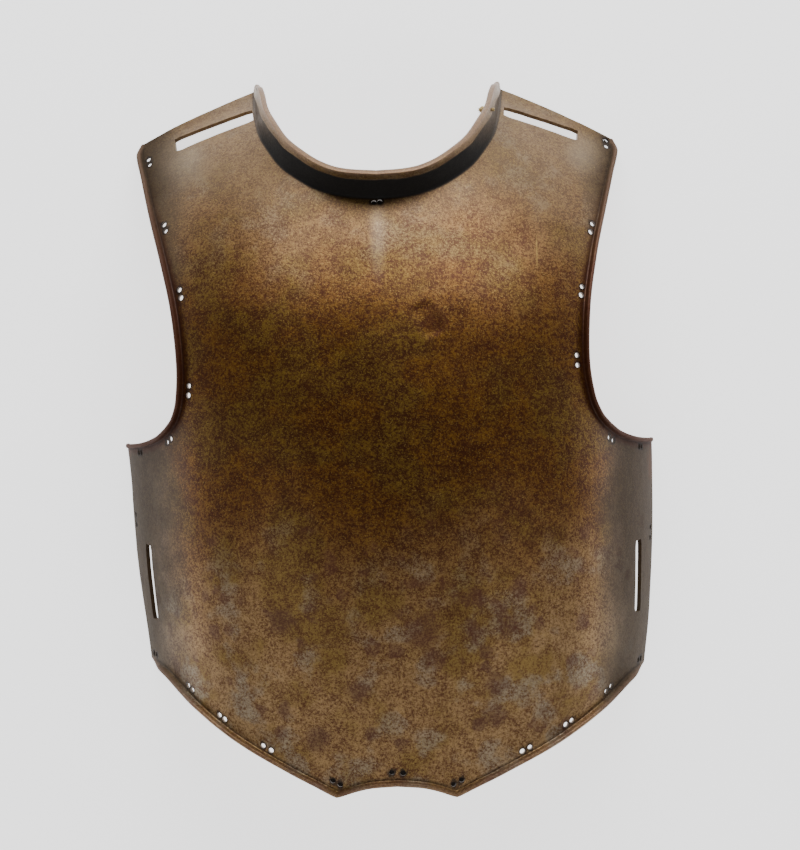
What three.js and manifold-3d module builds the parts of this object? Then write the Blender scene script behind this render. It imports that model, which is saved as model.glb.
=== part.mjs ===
// Breastplate of a cuirass: one forged iron plate, with a remnant of the hide thong that tied its lining.
//
// The plate lies on its back. +Z is the front of the chest, +Y is towards the neck, and the surface that
// it rests on is z = 0. Lengths are in millimetres.
//
// The chest is a row of cross sections. Each is a flattened ellipse with its own crown height and half
// width, and sections near the shoulders sweep down towards the sides. A point of the sheet is named by
// `across`, its distance from the middle line, and `station`, the height at which its section is crowned.

import * as THREE from 'three';
import Module from 'manifold-3d';
import { mergeVertices } from 'three/addons/utils/BufferGeometryUtils.js';

const wasm = await Module();
wasm.setup();

// ---------------------------------------------------------------- driving dimensions

const WALL = 2.6;
const SECTION_POWER = 2.4; // 2 would be a true ellipse, more is boxier
const SECTION_DROP = 60; // each section's ellipse is centred this far below the rest plane
const SECTION_FOOT = 5; // half widths are given this far below the rest plane
const SWEEP = 0.419; // how fast a shoulder section runs down, for each millimetre across
const SWEEP_START = 55; // station where the sweep begins
const SWEEP_SPAN = 190; // stations over which it reaches its full value
const SWEEP_ROUND = 40; // radius that softens the sweep at the middle line
const RIDGE_HEIGHT = 2; // faint medial ridge
const RIDGE_WIDTH = 22;
const RIDGE_FADE = { lowStart: -170, lowEnd: -50, highStart: 170, highEnd: 230 }; // stations
const REST_DEPTH = 2; // the edges that rest are forged this far past the rest plane, then filed flat
const BOTTOM_SKEW = 3.4; // the right end of the bottom edge hangs this much lower, the left end higher
const TURN_ARC = 3.6; // length of sheet in the bend of a turned edge
const TURN_ARC_SHARE = 0.6; // the bend takes no more than this share of a short edge's reach
const HEM_START_SHARE = 0.2; // a hem's raw edge stays this share of the straight part off the bend
const HEM_SLOPE_SHARE = 0.12; // and slopes up over this share of the hem's width
const LIP_SHARE = 0.3; // the lip stands out past the turned edge's reach by this share of the wall

// Cells of the sheet along each edge. The armhole's bend, `armpit`, parts its low run from its tall one.
const CELLS = { notch: 4, flank: 19, side: 11, armpit: 7, armhole: 20, shoulder: 5, neck: 11 };
const CELL_GROWTH = { shoulder: 1.5, neck: 1.3 }; // cells grow shorter towards the collar's end
const SOLVER_STEPS = 40;
const REST_SEARCH = { across: [120, 185], height: [180, 266] }; // where the resting edges are looked for
const SPREAD_LIMIT = 0.9999; // share of an ellipse's spread up to which its height is read
const NORMAL_STEP = 0.5; // distance over which the sheet's slope is measured
const FLAT_BEND = 0.01; // degrees that stand for an edge with no bend
const WELD = 1e-4; // vertices nearer than this are one

const STATIONS = [
  { station: -290, crown: 66, half: 145.5 },
  { station: -235, crown: 88, half: 156.5 },
  { station: -190, crown: 103, half: 163 },
  { station: -146, crown: 115, half: 169 },
  { station: -75, crown: 128, half: 176 },
  { station: -3, crown: 133, half: 179 },
  { station: 41, crown: 130, half: 182 },
  { station: 95, crown: 118, half: 185 },
  { station: 163, crown: 88, half: 189 },
  { station: 192, crown: 71, half: 191 },
  { station: 220, crown: 49, half: 192 },
  { station: 241, crown: 26, half: 194 },
  { station: 252.5, crown: 9, half: 196 },
  { station: 263.8, crown: -4.5, half: 196 },
];

// The middle line is hammered slightly off straight.
const MIDDLE_LINE = [
  { height: -240, shift: 1.5 },
  { height: -145, shift: 3.7 },
  { height: -75, shift: 1.8 },
  { height: -20, shift: 0.4 },
  { height: 30, shift: -3 },
  { height: 95, shift: -5.9 },
  { height: 150, shift: -7.2 },
  { height: 245, shift: -6.4 },
];

// The outline, in distance from the middle line and height, seen from the front.
const HEEL_HEIGHT = -148.3; // lower end of each rear side edge
const HORN_HEIGHT = -4.8; // upper end of each rear side edge
const TIP_ACROSS = 157.5; // outer end of each shoulder edge
const COLLAR_ACROSS = 85; // inner end of each shoulder edge

const NOTCH = [
  { across: 0, height: -222.5 },
  { across: 17, height: -223.7 },
  { across: 28, height: -226.2 },
  { across: 39, height: -230 },
];
const FLANK = [
  { across: 39, height: -230 },
  { across: 52, height: -223.2 },
  { across: 68, height: -215 },
  { across: 105, height: -194.5 },
  { across: 133, height: -174.2 },
  { across: 156, height: -153.8 },
];
const ARMPIT = [
  { across: 163, height: -3.6 },
  { across: 151, height: 0.6 },
  { across: 143.5, height: 6.5 },
];
const ARMHOLE = [
  { across: 143.5, height: 6.5 },
  { across: 138, height: 13.5 },
  { across: 133.2, height: 27 },
  { across: 131, height: 52 },
  { across: 133.8, height: 88 },
  { across: 140, height: 120 },
  { across: 147.6, height: 150 },
  { across: 154.6, height: 178 },
  { across: 158.6, height: 194 },
];
const NECK = [
  { across: 83.3, height: 222 },
  { across: 79.8, height: 205.5 },
  { across: 72.8, height: 193 },
  { across: 64, height: 181.5 },
  { across: 53, height: 172.8 },
  { across: 41, height: 165.8 },
  { across: 29, height: 161.5 },
  { across: 16, height: 159 },
  { across: 0, height: 157.8 },
];

// A turned edge: how far its sheet reaches, its bend towards the front in degrees, and the width and
// thickness of the hem that is folded back on its front face.
const PLAIN_TURN = { reach: 1.2, bend: 0, hemWidth: 0.3, hem: 0 };
const ARMHOLE_TURN = { reach: 5.8, bend: 88, hemWidth: 1.2, hem: 0 };
const BOTTOM_TURN = { reach: 6.4, bend: 84, hemWidth: 1.4, hem: 0 };
const ARMHOLE_FADE = 20; // an armhole's turned edge fades out over this length at each end
const HEEL_FADE = 40; // and the bottom's over this one
// The collar, by distance from its end at the shoulder. It is lowest there and tallest at the throat.
const COLLAR = [
  { travelled: 0, reach: 5.5, bend: 42, hemWidth: 3.6, hem: 1 },
  { travelled: 6, reach: 9.5, bend: 52, hemWidth: 6.5, hem: 1.5 },
  { travelled: 20, reach: 17, bend: 58, hemWidth: 9, hem: 1.5 },
  { travelled: 38, reach: 21.2, bend: 57, hemWidth: 8, hem: 1.5 },
  { travelled: 72, reach: 24.4, bend: 61, hemWidth: 6.3, hem: 1.5 },
  { travelled: 106, reach: 25.2, bend: 68, hemWidth: 5.4, hem: 1.5 },
  { travelled: 138, reach: 25.5, bend: 74, hemWidth: 5, hem: 1.5 },
  { travelled: 168, reach: 25.6, bend: 75.5, hemWidth: 5, hem: 1.5 },
];

// Strap slots, cut square to the sheet. `turn` is the angle of the long side from +X, in degrees.
const SLOTS = [
  { side: -1, across: 110.3, height: 210.6, turn: 20, length: 57, width: 14 },
  { side: 1, across: 111, height: 212.8, turn: -18.3, length: 53.5, width: 11.5 },
  { side: -1, across: 164.1, height: -94, turn: -85, length: 51, width: 11 },
  { side: 1, across: 163, height: -93.5, turn: 89, length: 49, width: 11 },
];
const CUT_DEPTH = 9; // how far a cutter runs to each side of the sheet
const BELOW = { length: 500, width: 600, depth: 100 }; // what is filed away under the rest plane

// Pairs of lining holes. `along` is the distance of a pair from its edge's first end, where the notch
// and the neck are counted from the middle line. `inset` is how far it lies inside the edge, and `gap`
// is the distance between its two holes.
const HOLE_RADIUS = 1.6;
const HOLE_SIDES = 6;
const PAIRS = [
  { edge: 'notch', side: 1, along: 0, inset: 4.4, gap: 7.5 },
  { edge: 'flank', side: -1, along: 3, inset: 4.4, gap: 5.5 },
  { edge: 'flank', side: -1, along: 54, inset: 2.4, gap: 6.2 },
  { edge: 'flank', side: -1, along: 92, inset: 2.6, gap: 4.8 },
  { edge: 'flank', side: -1, along: 125, inset: 3, gap: 5 },
  { edge: 'flank', side: -1, along: 178, inset: 3.4, gap: 6 },
  { edge: 'flank', side: 1, along: 3, inset: 4.2, gap: 6 },
  { edge: 'flank', side: 1, along: 53, inset: 2.4, gap: 5.8 },
  { edge: 'flank', side: 1, along: 88, inset: 2.6, gap: 5.2 },
  { edge: 'flank', side: 1, along: 128, inset: 3, gap: 6 },
  { edge: 'flank', side: 1, along: 175, inset: 3.4, gap: 6 },
  { edge: 'side', side: -1, along: 93, inset: 12, gap: 7 },
  { edge: 'side', side: 1, along: 87, inset: 12, gap: 7 },
  { edge: 'armpit', side: -1, along: 39, inset: 2.6, gap: 5.4 },
  { edge: 'armpit', side: -1, along: 84, inset: 3.4, gap: 4.8 },
  { edge: 'armpit', side: 1, along: 38, inset: 2.4, gap: 5 },
  { edge: 'armpit', side: 1, along: 81, inset: 4, gap: 5 },
  { edge: 'armhole', side: -1, along: 33, inset: 4.6, gap: 6.2 },
  { edge: 'armhole', side: -1, along: 97, inset: 4.4, gap: 6 },
  { edge: 'armhole', side: -1, along: 151, inset: 4.4, gap: 5.6 },
  { edge: 'armhole', side: -1, along: 214, inset: 3.4, gap: 5 },
  { edge: 'armhole', side: 1, along: 51, inset: 4.6, gap: 6.6 },
  { edge: 'armhole', side: 1, along: 98, inset: 2.2, gap: 6.2 },
  { edge: 'armhole', side: 1, along: 149, inset: 2.2, gap: 7 },
  { edge: 'armhole', side: 1, along: 228, inset: 3.2, gap: 5 },
  { edge: 'neck', side: 1, along: 0, inset: 2.2, gap: 4 },
];

// Holes through the collar near its ends. The thong is knotted through the one on the right.
const COLLAR_HOLE_RADIUS = 1.3;
const COLLAR_HOLES = [
  { side: -1, travelled: 17, up: 15 },
  { side: -1, travelled: 21.5, up: 16 },
  { side: 1, travelled: 52, up: 18.5 },
];
const THONG = {
  cordRadius: 0.9,
  knotRadius: 2.7,
  knotLength: 4.4,
  stopRadius: 1.9,
  stopLength: 1.8,
  gap: 0.35,
};
const THONG_SIDES = 10;
// The knot's outline from its end to the collar, as shares of its radius and its length.
const KNOT_SHAPE = [
  { radius: 0, length: 1 },
  { radius: 0.7, length: 0.85 },
  { radius: 1, length: 0.5 },
  { radius: 0.75, length: 0 },
];
const STOP_END_SHARE = 0.8; // the stop's end has this share of its radius

const IRON = new THREE.MeshStandardMaterial({ color: 0x4a3a26, roughness: 0.55, metalness: 0.85 });
const HIDE = new THREE.MeshStandardMaterial({ color: 0xb08a4a, roughness: 0.85, metalness: 0 });

// ---------------------------------------------------------------- tables and curves

/** Cubic interpolation through a table's rows, held at its ends. `key` and `value` name two columns. */
function lookUp(table, key, value, at) {
  const last = table.length - 1;
  const x = THREE.MathUtils.clamp(at, table[0][key], table[last][key]);
  let i = 0;
  while (i < last - 1 && x > table[i + 1][key]) {
    i += 1;
  }
  const slopeAt = (k) => {
    const before = table[Math.max(k - 1, 0)];
    const after = table[Math.min(k + 1, last)];
    return (after[value] - before[value]) / (after[key] - before[key]);
  };
  const span = table[i + 1][key] - table[i][key];
  const t = (x - table[i][key]) / span;
  const rise = table[i + 1][value] - table[i][value];
  const bow = (1 - t) * (slopeAt(i) * span - rise) - t * (slopeAt(i + 1) * span - rise);
  return table[i][value] + t * rise + t * (1 - t) * bow;
}

/** A smooth path through outline points, given again in cells that grow along it where `growth` is over 1. */
function smoothPath(points, cells, growth = 1) {
  let travelled = 0;
  const rows = points.map((point, i) => {
    const from = points[Math.max(i - 1, 0)];
    travelled += Math.hypot(point.across - from.across, point.height - from.height);
    return { ...point, travelled };
  });
  return Array.from({ length: cells + 1 }, (_, i) => {
    const at = travelled * (i / cells) ** growth;
    return {
      across: lookUp(rows, 'travelled', 'across', at),
      height: lookUp(rows, 'travelled', 'height', at),
    };
  });
}

/** Where a falling function comes down to `target`. */
function solve(falling, target, low, high) {
  let [from, to] = [low, high];
  for (let step = 0; step < SOLVER_STEPS; step += 1) {
    const middle = (from + to) / 2;
    if (falling(middle) > target) {
      from = middle;
    } else {
      to = middle;
    }
  }
  return (from + to) / 2;
}

// ---------------------------------------------------------------- the sheet

/** The flattened ellipse of one cross section. */
function sectionAt(station) {
  const full = lookUp(STATIONS, 'station', 'crown', station) + SECTION_DROP;
  const half = lookUp(STATIONS, 'station', 'half', station);
  const foot = (SECTION_DROP - SECTION_FOOT) / full;
  const spread = half / (1 - foot ** SECTION_POWER) ** (1 / SECTION_POWER);
  return { full, spread, footAngle: Math.asin(half / spread) };
}

/** How much lower than its station a point lies, because its section sweeps down to the sides. */
function sweepAt(across, station) {
  const share = THREE.MathUtils.smoothstep(station, SWEEP_START, SWEEP_START + SWEEP_SPAN);
  return SWEEP * share * (Math.hypot(across, SWEEP_ROUND) - SWEEP_ROUND);
}

/** The station of the point at this distance from the middle line and this height. */
function stationOf({ across, height }) {
  let station = height;
  for (let step = 0; step < SOLVER_STEPS; step += 1) {
    station = height + sweepAt(across, station);
  }
  return station;
}

/** How far the front face stands above the rest plane. */
function frontZ(across, station) {
  const { full, spread } = sectionAt(station);
  const share = Math.min(Math.abs(across) / spread, SPREAD_LIMIT);
  const { lowStart, lowEnd, highStart, highEnd } = RIDGE_FADE;
  const rising = THREE.MathUtils.smoothstep(station, lowStart, lowEnd);
  const fade = rising * (1 - THREE.MathUtils.smoothstep(station, highStart, highEnd));
  const ridge = RIDGE_HEIGHT * fade * Math.exp(-((across / RIDGE_WIDTH) ** 2));
  return full * (1 - share ** SECTION_POWER) ** (1 / SECTION_POWER) - SECTION_DROP + ridge;
}

/** A point of the front face. */
function frontPoint(across, station) {
  const height = station - sweepAt(across, station);
  const shift = lookUp(MIDDLE_LINE, 'height', 'shift', height);
  return new THREE.Vector3(across + shift, height, frontZ(across, station));
}

/** The front face's unit normal, which points away from the wearer. */
function frontNormal(across, station) {
  const alongX = frontPoint(across + NORMAL_STEP, station).sub(frontPoint(across - NORMAL_STEP, station));
  const alongY = frontPoint(across, station + NORMAL_STEP).sub(frontPoint(across, station - NORMAL_STEP));
  return alongX.cross(alongY).normalize();
}

/**
 * A vertex of the sheet: its point and normal, and its girth. Girth is the share of a section's half arc
 * from the middle line to its foot, with the station, and grids are stretched evenly in those terms.
 */
function girthVertex(girth) {
  const { spread, footAngle } = sectionAt(girth.y);
  const across = spread * Math.sin(girth.x * footAngle);
  return { girth, at: frontPoint(across, girth.y), normal: frontNormal(across, girth.y) };
}

/** The vertex at an outline point. */
function outlineVertex({ across, height }) {
  const station = stationOf({ across, height });
  const { spread, footAngle } = sectionAt(station);
  return girthVertex(new THREE.Vector2(Math.asin(across / spread) / footAngle, station));
}

// ---------------------------------------------------------------- the outline

/** Distance from the middle line of the rear side edge at a height. */
function restAcross(height) {
  return solve((across) => frontZ(across, stationOf({ across, height })), -REST_DEPTH, ...REST_SEARCH.across);
}

/** Height of the shoulder's edge at a distance from the middle line. */
function restHeight(across) {
  return solve((height) => frontZ(across, stationOf({ across, height })), -REST_DEPTH, ...REST_SEARCH.height);
}

/** Numbers from one value to another; `growth` over 1 makes the last steps the shortest. */
function steps(from, to, cells, growth = 1) {
  return Array.from({ length: cells + 1 }, (_, i) => to + (from - to) * (1 - i / cells) ** growth);
}

/** The outline points of one side's edges, in order round the plate from the middle of its bottom. */
function halfOutline(side) {
  const skewed = (points) =>
    points.map(({ across, height }) => ({
      across,
      height: height - side * BOTTOM_SKEW * (across / TIP_ACROSS) ** 2,
    }));
  const heelHeight = HEEL_HEIGHT - side * BOTTOM_SKEW;
  const heel = { across: restAcross(heelHeight), height: heelHeight };
  const horn = { across: restAcross(HORN_HEIGHT), height: HORN_HEIGHT };
  const tip = { across: TIP_ACROSS, height: restHeight(TIP_ACROSS) };
  const collarEnd = { across: COLLAR_ACROSS, height: restHeight(COLLAR_ACROSS) };
  const alongSide = steps(heelHeight, HORN_HEIGHT, CELLS.side);
  const alongShoulder = steps(TIP_ACROSS, COLLAR_ACROSS, CELLS.shoulder, CELL_GROWTH.shoulder);
  return {
    notch: smoothPath(skewed(NOTCH), CELLS.notch),
    flank: smoothPath([...skewed(FLANK), heel], CELLS.flank),
    side: alongSide.map((height) => ({ across: restAcross(height), height })),
    armpit: smoothPath([horn, ...ARMPIT], CELLS.armpit),
    armhole: smoothPath([...ARMHOLE, tip], CELLS.armhole),
    shoulder: alongShoulder.map((across) => ({ across, height: restHeight(across) })),
    neck: smoothPath([collarEnd, ...NECK], CELLS.neck, CELL_GROWTH.neck),
  };
}

/** The turned edge at a place on a named edge, by its distances from the edge's two ends. */
function turnAt(name, fromStart, fromEnd) {
  const faded = (turn, share) => {
    const smooth = THREE.MathUtils.smoothstep(share, 0, 1);
    return Object.fromEntries(
      Object.entries(turn).map(([key, value]) => [key, THREE.MathUtils.lerp(PLAIN_TURN[key], value, smooth)]),
    );
  };
  switch (name) {
    case 'notch':
      return BOTTOM_TURN;
    case 'flank':
      return faded(BOTTOM_TURN, fromEnd / HEEL_FADE);
    case 'armpit':
      return faded(ARMHOLE_TURN, fromStart / ARMHOLE_FADE);
    case 'armhole':
      return faded(ARMHOLE_TURN, fromEnd / ARMHOLE_FADE);
    case 'neck':
      return Object.fromEntries(
        Object.keys(PLAIN_TURN).map((key) => [key, lookUp(COLLAR, 'travelled', key, fromStart)]),
      );
    default:
      return PLAIN_TURN;
  }
}

/** One side's edges as lists of vertices, each with its turned edge. */
function halfEdges(side) {
  return Object.fromEntries(
    Object.entries(halfOutline(side)).map(([name, points]) => {
      const vertices = points.map(({ across, height }) => outlineVertex({ across: side * across, height }));
      const travelled = [0];
      for (let i = 1; i < vertices.length; i += 1) {
        travelled.push(travelled[i - 1] + vertices[i].at.distanceTo(vertices[i - 1].at));
      }
      const total = travelled[vertices.length - 1];
      vertices.forEach((vertex, i) => {
        vertex.turn = turnAt(name, travelled[i], total - travelled[i]);
      });
      return [name, vertices];
    }),
  );
}

const RIGHT = halfEdges(1);
const LEFT = halfEdges(-1);

// ---------------------------------------------------------------- turned edges

/** The direction out of the sheet at an edge, square to the edge and to the sheet's normal. */
function outwardAt(before, vertex, after) {
  const ahead = after.at.clone().sub(vertex.at).normalize();
  const behind = vertex.at.clone().sub(before.at).normalize();
  return ahead.add(behind).cross(vertex.normal).normalize();
}

/**
 * A place on a turned edge: `distance` along its sheet from the edge, and `offset` from the middle of
 * its wall, towards the front of the plate. The pair that comes back is out of the sheet and up from it.
 */
function turnedPlace({ reach, bend }, distance, offset) {
  const angle = THREE.MathUtils.degToRad(Math.max(bend, FLAT_BEND));
  const arc = Math.min(TURN_ARC, reach * TURN_ARC_SHARE);
  const radius = arc / angle;
  const turned = Math.min(distance, arc) / radius;
  const straight = Math.max(distance - arc, 0);
  const out = radius * Math.sin(turned) + straight * Math.cos(turned) - offset * Math.sin(turned);
  const up = radius * (1 - Math.cos(turned)) + straight * Math.sin(turned) + offset * Math.cos(turned);
  return [out, up - WALL / 2];
}

/** The section of a turned edge, from the front face round its lip to the hollow face. */
function turnSection(turn) {
  const { reach, hemWidth, hem } = turn;
  const arc = Math.min(TURN_ARC, reach * TURN_ARC_SHARE);
  const front = WALL / 2;
  const hemStart = Math.max(reach - hemWidth, arc + (reach - arc) * HEM_START_SHARE);
  const places = [
    [arc / 2, front],
    [arc, front],
    [hemStart, front],
    [hemStart + hemWidth * HEM_SLOPE_SHARE, front + hem],
    [reach, front + hem],
    [reach + WALL * LIP_SHARE, hem / 2],
    [reach, -front],
    [arc, -front],
    [arc / 2, -front],
  ];
  return places.map(([distance, offset]) => turnedPlace(turn, distance, offset));
}

// ---------------------------------------------------------------- the plate as a closed mesh

/** Two lists that start at the middle line, as one from the left end to the right one. */
function joinHalves(left, right) {
  return [...left.slice(1).reverse(), ...right];
}

/** A grid of vertices stretched between four edges. Its rows run from left to right, bottom row first. */
function stretchedGrid(bottom, right, top, left) {
  const [across, up] = [bottom.length - 1, left.length - 1];
  return left.map((_, j) =>
    bottom.map((__, i) => {
      const onEdge = { 0: bottom[i], [up]: top[i] }[j] ?? { 0: left[j], [across]: right[j] }[i];
      if (onEdge) {
        return onEdge;
      }
      const [u, v] = [i / across, j / up];
      const girth = new THREE.Vector2()
        .addScaledVector(bottom[i].girth, 1 - v)
        .addScaledVector(top[i].girth, v)
        .addScaledVector(left[j].girth, 1 - u)
        .addScaledVector(right[j].girth, u)
        .addScaledVector(bottom[0].girth, -(1 - u) * (1 - v))
        .addScaledVector(bottom[across].girth, -u * (1 - v))
        .addScaledVector(top[0].girth, -(1 - u) * v)
        .addScaledVector(top[across].girth, -u * v);
      return girthVertex(girth);
    }),
  );
}

/** The belly below the armholes and the chest between them, as two grids that share the waist row. */
function sheetGrids() {
  const [leftBend, rightBend] = [LEFT.armhole[0], RIGHT.armhole[0]];
  const cells = 2 * (CELLS.neck + CELLS.shoulder);
  const waist = steps(0, 1, cells).map((share) =>
    girthVertex(leftBend.girth.clone().lerp(rightBend.girth, share)),
  );
  const bottom = joinHalves(
    [...LEFT.notch, ...LEFT.flank.slice(1)],
    [...RIGHT.notch, ...RIGHT.flank.slice(1)],
  );
  const top = joinHalves(
    [...LEFT.shoulder, ...LEFT.neck.slice(1)].reverse(),
    [...RIGHT.shoulder, ...RIGHT.neck.slice(1)].reverse(),
  );
  const belt = [...LEFT.armpit, ...waist.slice(1, -1), ...RIGHT.armpit.slice().reverse()];
  const chestFoot = [leftBend, ...waist.slice(1, -1), rightBend];
  return [
    stretchedGrid(bottom, RIGHT.side, belt, LEFT.side),
    stretchedGrid(chestFoot, RIGHT.armhole, top, LEFT.armhole),
  ];
}

/** Every vertex of the rim once, anticlockwise from the middle of the bottom edge. */
function rimVertices() {
  const half = ({ notch, flank, side, armpit, armhole, shoulder, neck }) => [
    ...notch,
    ...flank.slice(1),
    ...side.slice(1),
    ...armpit.slice(1),
    ...armhole.slice(1),
    ...shoulder.slice(1, -1),
    ...neck,
  ];
  return [...half(RIGHT), ...half(LEFT).slice(1, -1).reverse()];
}

/** The whole forged plate before its slots and holes are cut. */
function forgedPlate() {
  const positions = [];
  const addTriangle = (...corners) => corners.forEach(({ x, y, z }) => positions.push(x, y, z));
  const addQuad = (a, b, c, d) => {
    if (a.distanceTo(c) < b.distanceTo(d)) {
      addTriangle(a, b, c);
      addTriangle(a, c, d);
    } else {
      addTriangle(a, b, d);
      addTriangle(b, c, d);
    }
  };
  const hollow = ({ at, normal }) => at.clone().addScaledVector(normal, -WALL);

  for (const grid of sheetGrids()) {
    for (let j = 0; j < grid.length - 1; j += 1) {
      for (let i = 0; i < grid[j].length - 1; i += 1) {
        const corners = [grid[j][i], grid[j][i + 1], grid[j + 1][i + 1], grid[j + 1][i]];
        addQuad(...corners.map(({ at }) => at));
        addQuad(...corners.map(hollow).reverse());
      }
    }
  }

  const rim = rimVertices();
  const strips = rim.map((vertex, k) => {
    const before = rim[(k + rim.length - 1) % rim.length];
    const after = rim[(k + 1) % rim.length];
    const outward = outwardAt(before, vertex, after);
    const lip = turnSection(vertex.turn).map(([out, up]) =>
      vertex.at.clone().addScaledVector(outward, out).addScaledVector(vertex.normal, up),
    );
    return [vertex.at, ...lip, hollow(vertex)];
  });
  strips.forEach((strip, k) => {
    const next = strips[(k + 1) % strips.length];
    for (let m = 0; m < strip.length - 1; m += 1) {
      addQuad(strip[m], strip[m + 1], next[m + 1], next[m]);
    }
  });

  const geometry = new THREE.BufferGeometry();
  return geometry.setAttribute('position', new THREE.Float32BufferAttribute(positions, 3));
}

// ---------------------------------------------------------------- cutting

/** A closed three.js geometry as a solid that can be joined and cut. */
function toSolid(geometry) {
  const bare = geometry.clone();
  bare.deleteAttribute('normal');
  bare.deleteAttribute('uv');
  const merged = mergeVertices(bare, WELD);
  return new wasm.Manifold(
    new wasm.Mesh({
      numProp: 3,
      vertProperties: new Float32Array(merged.attributes.position.array),
      triVerts: new Uint32Array(merged.index.array),
    }),
  );
}

/** A solid as a three.js geometry again, with flat faces. */
function toGeometry(solid) {
  const mesh = solid.getMesh();
  const geometry = new THREE.BufferGeometry();
  geometry.setAttribute('position', new THREE.Float32BufferAttribute(mesh.vertProperties, 3));
  geometry.setIndex(new THREE.Uint32BufferAttribute(mesh.triVerts, 1));
  return geometry;
}

/** Places a cutter whose own +Y is its way through the sheet and whose own +X is its long side. */
function alignCutter(geometry, at, through, long) {
  const sideways = long.clone().addScaledVector(through, -long.dot(through)).normalize();
  const basis = new THREE.Matrix4().makeBasis(sideways, through, sideways.clone().cross(through));
  return geometry.applyMatrix4(basis.setPosition(at));
}

/** The cutter of one strap slot. */
function slotCutter({ side, across, height, turn, length, width }) {
  const { at, normal } = outlineVertex({ across: side * across, height });
  const angle = THREE.MathUtils.degToRad(turn);
  const long = new THREE.Vector3(Math.cos(angle), Math.sin(angle), 0);
  long.z = -(long.x * normal.x + long.y * normal.y) / normal.z;
  return alignCutter(new THREE.BoxGeometry(length, 2 * CUT_DEPTH, width), at, normal, long.normalize());
}

/** A place on an edge of the plate: its point, normal, direction along the edge and direction outwards. */
function placeOnEdge(vertices, side, distance) {
  let k = 1;
  let left = distance;
  while (k < vertices.length - 1 && left > vertices[k].at.distanceTo(vertices[k - 1].at)) {
    left -= vertices[k].at.distanceTo(vertices[k - 1].at);
    k += 1;
  }
  const share = left / vertices[k].at.distanceTo(vertices[k - 1].at);
  const along = vertices[k].at.clone().sub(vertices[k - 1].at).normalize();
  const at = vertices[k - 1].at.clone().lerp(vertices[k].at, share);
  const normal = vertices[k - 1].normal.clone().lerp(vertices[k].normal, share).normalize();
  const outward = along.clone().cross(normal).multiplyScalar(side).normalize();
  return { at, normal, along, outward };
}

/** The cutters of one pair of lining holes, inside an edge and in line with it. */
function pairCutters({ edge, side, along: distance, inset, gap }) {
  const half = side > 0 ? RIGHT : LEFT;
  const vertices = edge === 'neck' ? half.neck.slice().reverse() : half[edge];
  const turnSide = edge === 'neck' ? -side : side;
  const { at, normal, along, outward } = placeOnEdge(vertices, turnSide, distance);
  return [-gap / 2, gap / 2].map((shift) => {
    const spot = at.clone().addScaledVector(outward, -inset).addScaledVector(along, shift);
    const drill = new THREE.CylinderGeometry(HOLE_RADIUS, HOLE_RADIUS, 2 * CUT_DEPTH, HOLE_SIDES);
    return alignCutter(drill, spot, normal, along);
  });
}

/** A place in the middle of the collar's wall, with the way through it towards the plate's front. */
function placeOnCollar({ side, travelled, up }) {
  const { at, normal, along, outward } = placeOnEdge((side > 0 ? RIGHT : LEFT).neck, side, travelled);
  const turn = turnAt('neck', travelled, 0);
  const lifted = (offset) => {
    const [out, rise] = turnedPlace(turn, up, offset);
    return at.clone().addScaledVector(outward, out).addScaledVector(normal, rise);
  };
  const spot = lifted(turn.hem / 2);
  return { spot, through: lifted(turn.hem / 2 + 1).sub(spot), along, thickness: WALL + turn.hem };
}

/** The cutter of one hole through the collar. */
function collarCutter(hole) {
  const { spot, through, along } = placeOnCollar(hole);
  const drill = new THREE.CylinderGeometry(COLLAR_HOLE_RADIUS, COLLAR_HOLE_RADIUS, CUT_DEPTH, HOLE_SIDES);
  return alignCutter(drill, spot, through, along);
}

// ---------------------------------------------------------------- the two pieces

/** The forged plate with its resting edges filed flat and its slots and holes cut. */
function breastplate() {
  const below = new THREE.BoxGeometry(BELOW.length, BELOW.width, BELOW.depth);
  below.translate(0, 0, -BELOW.depth / 2);
  const cutters = [
    below,
    ...SLOTS.map(slotCutter),
    ...PAIRS.flatMap(pairCutters),
    ...COLLAR_HOLES.map(collarCutter),
  ];
  const plate = cutters.reduce((solid, cutter) => solid.subtract(toSolid(cutter)), toSolid(forgedPlate()));
  return new THREE.Mesh(toGeometry(plate), IRON);
}

/** The thong's remnant: a cord through the collar, with a knot on the neck's side and a stop in front. */
function thongKnot() {
  const { cordRadius, knotRadius, knotLength, stopRadius, stopLength, gap } = THONG;
  const { spot, through, along, thickness } = placeOnCollar(COLLAR_HOLES.find(({ side }) => side > 0));
  const face = thickness / 2 + gap;
  const profile = [
    ...KNOT_SHAPE.map(({ radius, length }) => [knotRadius * radius, -face - knotLength * length]),
    [cordRadius, -face],
    [cordRadius, face],
    [stopRadius, face],
    [stopRadius * STOP_END_SHARE, face + stopLength],
    [0, face + stopLength],
  ].map(([radius, height]) => new THREE.Vector2(radius, height));
  const knot = alignCutter(new THREE.LatheGeometry(profile, THONG_SIDES), spot, through, along);
  return new THREE.Mesh(toGeometry(toSolid(knot)), HIDE);
}

const parts = new THREE.Group();
const pieces = { breastplate: breastplate(), thong_knot: thongKnot() };
for (const [name, mesh] of Object.entries(pieces)) {
  mesh.name = name;
  parts.add(mesh);
}

// The middle of the plate's outline is x = y = 0.
const middle = new THREE.Box3().setFromObject(parts).getCenter(new THREE.Vector3());
parts.position.set(-middle.x, -middle.y, 0);

export default parts;
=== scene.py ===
"""A forged iron breastplate with a brown patina, lying on its back on a pale floor.

The plate is hammered from one sheet: a deep chest and belly, edges that are turned forward all round, a
collar with a folded hem, slots for four straps, and pairs of holes that tied its lining. Its sizes are in
millimetres in the tables below and in metres in the scene. `across` is a distance from the middle line,
and `station` is the height at which a cross section of the chest has its crown.
"""

import logging
import math
from collections.abc import Sequence
from dataclasses import dataclass, field
from enum import Enum

import bmesh
import bpy
import numpy as np
from mathutils import Matrix, Vector, kdtree, noise


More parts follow.
